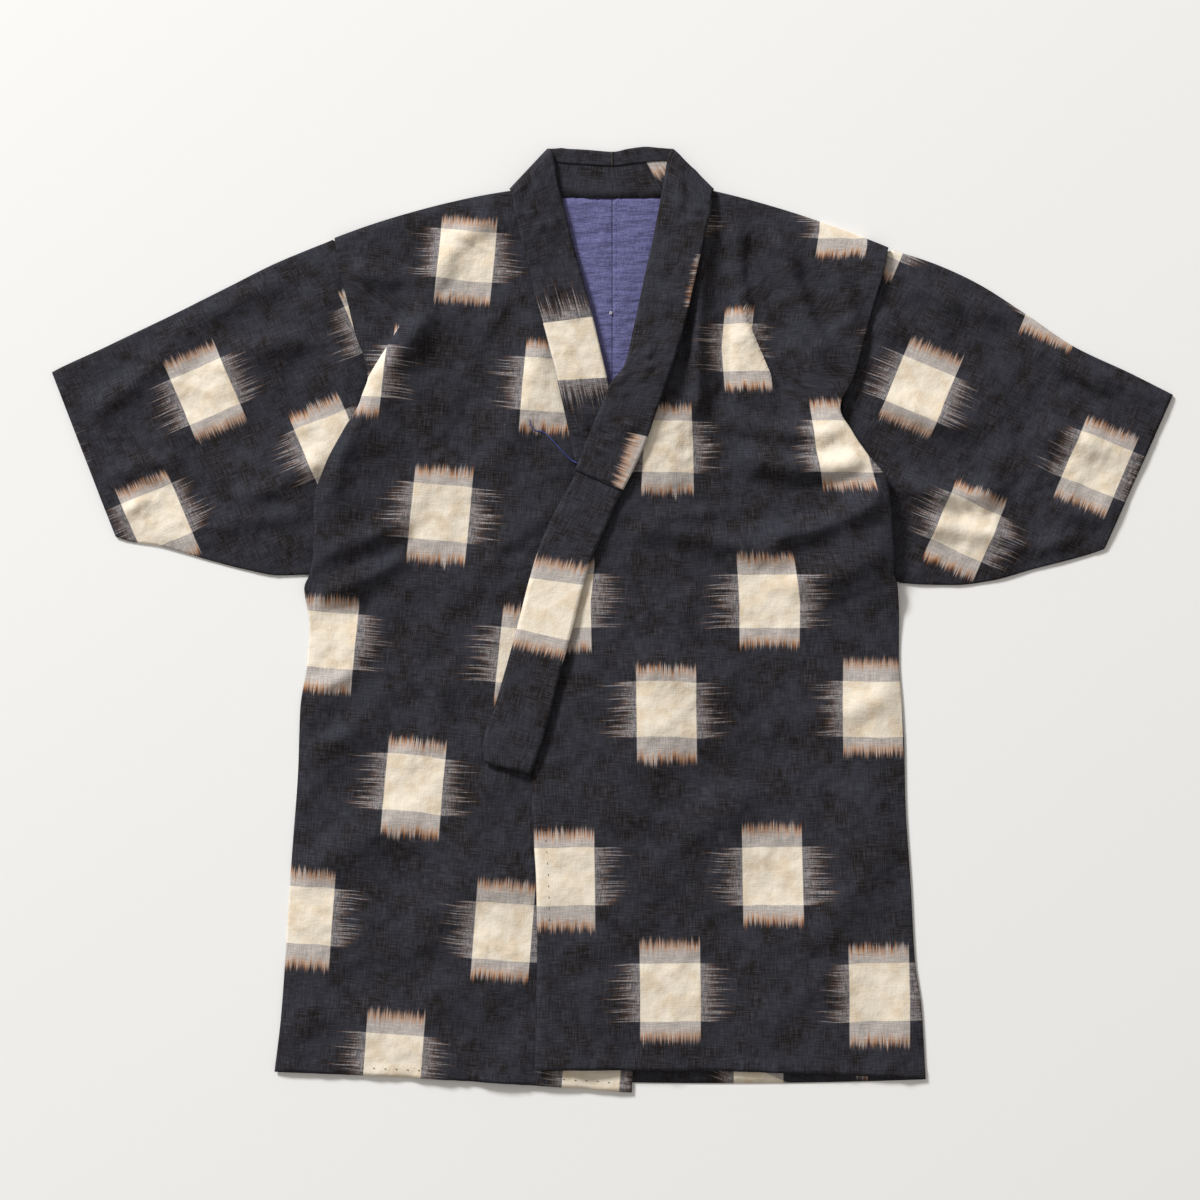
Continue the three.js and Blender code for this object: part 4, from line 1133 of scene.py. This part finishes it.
# piece, the CAD nodes it stands for, width and length of its cut, flat area, what it rests on
SHEETS = [
    (body_right, ["body_right"], 0.37, 1.70, 0.53, ["sleeve_right_cloth"]),
    (body_left, ["body_left"], 0.37, 1.70, 0.54, ["sleeve_left_cloth", "body_right_cloth"]),
    (sleeve_right, ["sleeve_right"], 0.29, 0.56, 0.115, []),
    (sleeve_left, ["sleeve_left"], 0.29, 0.56, 0.115, []),
    (collar, COLLAR_NODES, 0.106, 1.29, None, ["body_right_cloth", "body_left_cloth"]),
    (cover, COVER_NODES, 0.068, 0.69, None, ["collar_cloth"]),
    (yoke_right, ["yoke_lining_right"], 0.067, 0.196, 0.0104, ["body_right_cloth"]),
    (yoke_left, ["yoke_lining_left"], 0.067, 0.196, 0.0104, ["body_left_cloth"]),
]
for piece, nodes, width, length, area, below in SHEETS:
    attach(piece, "root")
    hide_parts(*nodes)
print("sheets", len(SHEETS), "and sewing", len(SEWING))

# %% [markdown]
# The picture has soft daylight from its upper left and a bright room. One large lamp stands low
# on that side, a little bluish, so that the folds show, and a warmer even light fills the rest.

# %% Floor and light
FLOOR = 6.0  # metres from the middle to each side
FLOOR_Z = -0.0002
FLOOR_WHITE = (0.9, 0.9, 0.89, 1)
LAMP_PLACE = (-6.0, 7.8, 5.25)
LAMP_SIZE, LAMP_WATTS, LAMP_COLOUR = 2.4, 1500, (0.985, 0.99, 1.0)
ROOM_LIGHT, ROOM_COLOUR = 0.4, (1.0, 0.95, 0.9, 1)
floor_mesh = bpy.data.meshes.new("floor")
corners = [(x * FLOOR, y * FLOOR, FLOOR_Z) for x, y in ((-1, -1), (1, -1), (1, 1), (-1, 1))]
floor_mesh.from_pydata(corners, [], [(0, 1, 2, 3)])
floor = bpy.data.objects.new("floor", floor_mesh)
bpy.context.scene.collection.objects.link(floor)


def area_light(name, place_at, size, watts, colour):
    """A square lamp that looks at the middle of the jacket."""
    data = bpy.data.lights.new(name, "AREA")
    data.size = size
    data.energy = watts
    data.color = colour
    lamp = bpy.data.objects.new(name, data)
    lamp.location = place_at
    lamp.rotation_euler = mathutils.Vector(place_at).to_track_quat("Z", "Y").to_euler()
    bpy.context.scene.collection.objects.link(lamp)
    return lamp


area_light("key", LAMP_PLACE, LAMP_SIZE, LAMP_WATTS, LAMP_COLOUR)
world = bpy.data.worlds.new("studio")
world.use_nodes = True
background = world.node_tree.nodes["Background"].inputs
background["Color"].default_value = ROOM_COLOUR
background["Strength"].default_value = ROOM_LIGHT
bpy.context.scene.world = world
bpy.context.scene.view_settings.view_transform = "Standard"
print("lamp of", LAMP_WATTS, "watts,", round(math.dist(LAMP_PLACE, (0, 0, 0)), 1), "m away")

# %% [markdown]
# Kasuri is woven from threads that were tied off and dyed before weaving. Where undyed warp
# crosses undyed weft there is a cream square. Above and below it the warp alone is light, and
# its ends are ragged, because each thread slips a little, with rust where the dye crept in. At
# the sides the weft alone is light, so there are only thin streaks. The material works this out
# for each point from its place in the weave, so no picture is needed.

# %% Node helpers
def srgb(red, green, blue):
    """A colour as seen, from 0 to 255, made linear as the shader needs it."""
    values = np.array([red, green, blue]) / 255.0
    linear = np.where(values <= 0.04045, values / 12.92, ((values + 0.055) / 1.055) ** 2.4)
    return (*linear.tolist(), 1.0)


class Weaver:
    """Adds nodes to one material and links them, so that a formula reads as a formula."""

    def __init__(self, name):
        self.material = bpy.data.materials.new(name)
        self.material.use_nodes = True
        self.nodes = self.material.node_tree.nodes
        self.links = self.material.node_tree.links
        self.shader = self.nodes["Principled BSDF"]

    def feed(self, socket, value):
        if isinstance(value, bpy.types.NodeSocket):
            self.links.new(value, socket)
        elif value is not None:
            socket.default_value = value

    def math(self, operation, *values):
        node = self.nodes.new("ShaderNodeMath")
        node.operation = operation
        for socket, value in zip(node.inputs, values):
            self.feed(socket, value)
        return node.outputs[0]

    def times(self, first, second):
        return self.math("MULTIPLY", first, second)

    def plus(self, first, second):
        return self.math("ADD", first, second)

    def less(self, first, second):
        return self.math("SUBTRACT", first, second)

    def over(self, first, second):
        return self.math("DIVIDE", first, second)

    def ramp(self, value, low, high):
        """0 below low, 1 above high, and a soft S between."""
        node = self.nodes.new("ShaderNodeMapRange")
        node.interpolation_type = "SMOOTHSTEP"
        self.feed(node.inputs["Value"], value)
        self.feed(node.inputs["From Min"], low)
        self.feed(node.inputs["From Max"], high)
        return node.outputs["Result"]

    def mix(self, share, first, second):
        node = self.nodes.new("ShaderNodeMix")
        node.data_type = "RGBA"
        self.feed(node.inputs["Factor"], share)
        self.feed(node.inputs[6], first)
        self.feed(node.inputs[7], second)
        return node.outputs[2]

    def vector(self, x, y, z=0.0):
        node = self.nodes.new("ShaderNodeCombineXYZ")
        for socket, value in zip(node.inputs, (x, y, z)):
            self.feed(socket, value)
        return node.outputs[0]

    def noise(self, vector, scale, detail=2.0, roughness=0.5):
        node = self.nodes.new("ShaderNodeTexNoise")
        self.feed(node.inputs["Vector"], vector)
        node.inputs["Scale"].default_value = scale
        node.inputs["Detail"].default_value = detail
        node.inputs["Roughness"].default_value = roughness
        return node.outputs["Fac"]

    def grain(self, place, across, along, detail, roughness=0.5):
        """Noise over the cloth, which changes so fast per millimetre across and along it."""
        u, v = place
        stretched = self.vector(self.times(u, across), self.times(v, along))
        return self.noise(stretched, 1.0, detail, roughness)

    def chance(self, vector):
        node = self.nodes.new("ShaderNodeTexWhiteNoise")
        self.feed(node.inputs["Vector"], vector)
        return node.outputs["Value"]

    def map_in_mm(self, name):
        """Both values of a UV map, back in millimetres."""
        node = self.nodes.new("ShaderNodeUVMap")
        node.uv_map = name
        split = self.nodes.new("ShaderNodeSeparateXYZ")
        self.links.new(node.outputs[0], split.inputs[0])
        return [self.times(split.outputs[i], 100.0) for i in (0, 1)]

    def place_in_weave(self):
        """Across the cloth and along it. Past a tuck, the hidden cloth is left out."""
        u, v = self.map_in_mm("cloth")
        side, hidden = self.map_in_mm("tuck")
        past = self.math("LESS_THAN", side, 0.0)
        return self.less(u, self.times(hidden, past)), v

    def bump(self, height, distance):
        node = self.nodes.new("ShaderNodeBump")
        node.inputs["Strength"].default_value = 1.0
        node.inputs["Distance"].default_value = distance
        self.feed(node.inputs["Height"], height)
        self.links.new(node.outputs["Normal"], self.shader.inputs["Normal"])


print("a seen grey of 188 is", round(srgb(188, 188, 188)[0], 2), "in linear light")

# %% [markdown]
# The marks repeat along each column, and every other column is shifted. A mark is drawn from the
# distance to its own middle: a cream square, grey ends where the warp alone is undyed, rust at
# their ragged tips, and streaks at the sides. Sizes are in millimetres of flat cloth.

# %% The repeat and its colours
HALF_REPEAT_ACROSS = 97.5
REPEAT_ALONG = 250.0
WARP_HALF_WIDTH, WARP_HALF_LENGTH = 28.2, 43.0  # of the undyed warp
WEFT_HALF_HEIGHT, WEFT_HALF_REACH = 25.5, 38.0  # of the undyed weft and its streaks
THREAD = 0.8
SLID = 11.0  # how far a whole mark may have slid along the warp
BOWED = 5.0  # how far a mark's upper and lower edges bend
WARP_IN_WAVES, WARP_BY_THREAD, WARP_SHORTEST = 20.0, 4.0, 12.0  # how ragged the warp's ends are
WEFT_IN_WAVES, WEFT_BY_THREAD, WEFT_SHORTEST = 34.0, 22.0, 13.0  # and the streaks' ends
CREAM = srgb(236, 226, 208)
CREAM_WARM = srgb(224, 207, 182)
WARP_ONLY = srgb(206, 198, 190)
WARP_SHADE = srgb(166, 159, 155)
RUST = srgb(190, 142, 102)
RUST_END = srgb(112, 68, 40)
STREAK = srgb(150, 144, 144)
STREAK_BROWN = srgb(132, 94, 62)
INDIGO = srgb(45, 46, 53)
# Painted shade: the brown that the ground's clouds take, standing in for shade in the folds'
# troughs
INDIGO_PAINTED_SHADE = srgb(31, 26, 24)
INDIGO_GREY = srgb(66, 66, 73)
BUMP = 0.0028  # how deep a bump of one is, in metres, here and in the lining
LINING_BUMP = 0.0035
print("repeat", 2 * HALF_REPEAT_ACROSS, "by", REPEAT_ALONG, "mm")

# %% [markdown]
# In real kasuri each thread ends its undyed part at a place of its own, a little before or after
# its neighbours. So each thread gets a chance value, and its neighbours share a slow wave. The
# two together cut the ends of the marks ragged, which a blurred edge would not.

# %% The layers of a mark
def mark_layers(w, u, v, parity, second_row):
    """The marks of every other column: how far the undyed warp, the undyed weft, the rust and
    the square's rows cover each point. The warp's ends and the weft's streaks follow a chance
    value for each thread and a slow wave over its neighbours."""
    wide = 2 * HALF_REPEAT_ACROSS
    from_column = w.less(u, parity * HALF_REPEAT_ACROSS)
    column = w.math("ROUND", w.over(from_column, wide))
    du = w.less(from_column, w.times(column, wide))
    from_row = w.less(v, parity * second_row * REPEAT_ALONG)
    row = w.math("ROUND", w.over(from_row, REPEAT_ALONG))
    dv = w.less(from_row, w.times(row, REPEAT_ALONG))
    mark = w.plus(w.times(column, 17.3), w.times(row, 5.7))
    mark = w.plus(mark, 40.1 * parity)
    own = w.chance(w.vector(mark, 2.0))
    end, side = w.math("SIGN", dv), w.math("SIGN", du)
    across = w.math("ABSOLUTE", du)
    bow = w.noise(w.vector(w.times(u, 0.022), mark), 1.0, 1.0)
    rows = w.plus(dv, w.times(w.less(bow, 0.5), BOWED))
    in_rows = w.ramp(w.math("ABSOLUTE", rows), WEFT_HALF_HEIGHT + 0.4, WEFT_HALF_HEIGHT - 0.4)
    slid = w.plus(dv, w.times(w.less(own, 0.5), SLID))
    along = w.math("ABSOLUTE", slid)

    warp_thread = w.math("FLOOR", w.over(u, THREAD))
    slip = w.noise(w.vector(w.times(u, 0.3), mark, end), 1.0, 5.0, 0.72)
    jag = w.chance(w.vector(warp_thread, mark, end))
    reach = w.plus(w.times(slip, WARP_IN_WAVES), w.times(jag, WARP_BY_THREAD))
    past = w.less(along, w.plus(reach, WARP_HALF_LENGTH - WARP_SHORTEST))
    sides = w.ramp(across, WARP_HALF_WIDTH + 0.5, WARP_HALF_WIDTH - 0.5)
    warp = w.times(w.ramp(past, 4.0, -2.5), sides)
    tip = w.ramp(past, -7.0, 1.0)
    crept = w.noise(w.vector(w.times(u, 0.7), mark, end), 1.0, 2.0, 0.6)
    rust = w.times(w.ramp(past, -11.0, -2.0), w.ramp(crept, 0.32, 0.6))

    weft_thread = w.math("FLOOR", w.over(rows, THREAD))
    pull = w.chance(w.vector(weft_thread, mark, side))
    far = w.math("POWER", pull, 3.0)
    slow = w.noise(w.vector(w.times(rows, 0.16), mark, side), 1.0, 4.0, 0.7)
    reach = w.plus(w.times(far, WEFT_BY_THREAD), w.times(slow, WEFT_IN_WAVES))
    beyond = w.less(across, w.plus(reach, WEFT_HALF_REACH - WEFT_SHORTEST))
    own_light = w.chance(w.vector(weft_thread, mark, w.plus(side, 7.0)))
    body = w.ramp(beyond, 4.0, -16.0)
    dash = w.grain((u, v), 0.22, 1.3, 3.0, 0.7)
    dash = w.plus(dash, w.times(w.less(own_light, 0.5), 0.22))
    border = w.ramp(w.math("ABSOLUTE", rows), WEFT_HALF_HEIGHT - 2.2, WEFT_HALF_HEIGHT - 1.0)
    dash = w.plus(dash, w.times(border, 0.16))
    light = w.plus(w.times(w.ramp(dash, 0.32, 0.62), 0.8), 0.28)
    crossing = w.grain((u, v), 1.3, 0.1, 2.0, 0.7)
    light = w.times(light, w.plus(w.ramp(crossing, 0.35, 0.6), 0.45))
    weft = w.times(w.times(light, body), in_rows)
    brown = w.ramp(w.plus(beyond, w.times(slow, 16.0)), -4.0, 9.0)
    return warp, weft, w.mix(tip, RUST, RUST_END), rust, brown, in_rows


print("squares", 2 * WARP_HALF_WIDTH, "by", 2 * WEFT_HALF_HEIGHT, "mm")

# %% [markdown]
# The ground is not one colour. Thick and thin threads both ways give it a grain, painted shade lies
# in brown clouds over the bluish ground, and the cream is mottled warmer in soft blotches. The same
# threads and a slow crinkle raise it.
# The body lengths and the sleeves are of cloth whose columns are shifted differently, and the
# band shows one set of columns, so each has a material of its own.

# %% The kasuri cloth
def kasuri(name, second_row, columns=(0, 1)):
    """second_row is where the marks of every other column lie, as a share of the repeat. A
    narrow strip may be cut so that it shows one set of columns alone."""
    w = Weaver(name)
    u, v = w.place_in_weave()
    threads = w.plus(w.grain((u, v), 0.07, 1.0, 3.0, 0.6), w.grain((u, v), 1.0, 0.07, 3.0, 0.6))
    # Painted shade and light: brown clouds stand in for the folds' shaded troughs, the bluish
    # ground for their lit sides, though the clouds lie at random over the cloth
    painted_shade_cloud = w.grain((u, v), 0.03, 0.03, 4.0, 0.62)
    colour = w.mix(w.ramp(painted_shade_cloud, 0.36, 0.62), INDIGO_PAINTED_SHADE, INDIGO)
    colour = w.mix(w.times(w.ramp(threads, 0.85, 1.3), 0.85), colour, INDIGO_GREY)
    lint = w.noise(w.vector(u, v), 0.36, 1.0, 0.5)
    colour = w.mix(w.times(w.ramp(lint, 0.8, 0.86), 0.45), colour, STREAK)
    blotch = w.grain((u, v), 0.05, 0.05, 3.0, 0.6)
    white = w.mix(w.ramp(blotch, 0.4, 0.7), CREAM, CREAM_WARM)
    grey = w.mix(w.times(w.ramp(threads, 0.8, 1.25), 0.8), WARP_SHADE, WARP_ONLY)
    for parity in columns:
        warp, weft, rusty, rust, brown, in_rows = mark_layers(w, u, v, parity, second_row)
        colour = w.mix(w.times(weft, 0.85), colour, w.mix(brown, STREAK, STREAK_BROWN))
        ends = w.mix(rust, grey, rusty)
        square = w.mix(w.times(rust, 0.6), white, rusty)
        colour = w.mix(warp, colour, w.mix(in_rows, ends, square))
    w.feed(w.shader.inputs["Base Color"], colour)
    w.shader.inputs["Roughness"].default_value = 0.9
    w.shader.inputs["Specular IOR Level"].default_value = 0.1
    crinkle = w.grain((u, v), 0.04, 0.04, 5.0)
    w.bump(w.plus(crinkle, w.times(threads, 0.07)), BUMP)
    return w.material


kasuri_left = kasuri("kasuri_left", 0.41)
kasuri_right = kasuri("kasuri_right", 0.5)
kasuri_right_sleeve = kasuri("kasuri_right_sleeve", 0.62)
kasuri_left_sleeve = kasuri("kasuri_left_sleeve", 0.55)
kasuri_band = kasuri("kasuri_band", 0.5, columns=(0,))
indigo_plain = kasuri("indigo_plain", 0.5, columns=())
print("nodes in the left front's cloth", len(kasuri_left.node_tree.nodes))

# %% [markdown]
# The lining is plain cotton with uneven threads both ways, a little smoother than the outside,
# and it is creased across, as thin cloth is behind a neck.

# %% The lining's cloth
LINING = srgb(112, 112, 156)
LINING_DARK = srgb(84, 82, 124)
LINING_PALE = srgb(140, 142, 180)


def lining_cloth(name):
    w = Weaver(name)
    u, v = w.place_in_weave()
    both = w.plus(w.grain((u, v), 0.14, 1.3, 3.0, 0.65), w.grain((u, v), 1.3, 0.14, 3.0, 0.65))
    colour = w.mix(w.ramp(both, 0.75, 1.25), LINING_DARK, LINING)
    colour = w.mix(w.ramp(both, 1.1, 1.5), colour, LINING_PALE)
    w.feed(w.shader.inputs["Base Color"], colour)
    w.shader.inputs["Roughness"].default_value = 0.85
    w.shader.inputs["Specular IOR Level"].default_value = 0.25
    creases = w.grain((u, v), 0.03, 0.12, 3.0)
    w.bump(w.plus(creases, w.times(both, 0.1)), LINING_BUMP)
    return w.material


lining_finish = lining_cloth("lining")
print("nodes in the lining's cloth", len(lining_finish.node_tree.nodes))

# %% [markdown]
# Each piece gets the cloth that it was cut from. Parts of the collar show no marks, so those
# faces get the same cloth without them, as a second material. Threads and the floor are plain.

# %% Give each piece its finish
def plain(name, colour):
    """One colour all over, for threads and the floor."""
    w = Weaver(name)
    w.shader.inputs["Base Color"].default_value = colour
    w.shader.inputs["Roughness"].default_value = 0.9
    return w.material


FINISHES = [
    (body_right, kasuri_right),
    (body_left, kasuri_left),
    (sleeve_right, kasuri_right_sleeve),
    (sleeve_left, kasuri_left_sleeve),
    (collar, kasuri_band),
    (cover, kasuri_band),
    (yoke_right, lining_finish),
    (yoke_left, lining_finish),
    (hem_stitches, plain("dark_thread", srgb(40, 34, 36))),
    (lining_stitches, plain("lining_thread", srgb(74, 72, 116))),
    (loose_thread, plain("blue_thread", srgb(60, 74, 142))),
    (lining_knot, plain("white_thread", srgb(206, 204, 210))),
]
for piece, finish in FINISHES:
    piece.data.materials.append(finish)
for piece, plain_rows in ((collar, band_plain), (cover, cover_plain[cover_first:cover_last])):
    piece.data.materials.append(indigo_plain)
    leave_plain(piece, len(plain_rows), plain_rows)
floor.data.materials.append(plain("floor", FLOOR_WHITE))
print("finishes", len(bpy.data.materials))
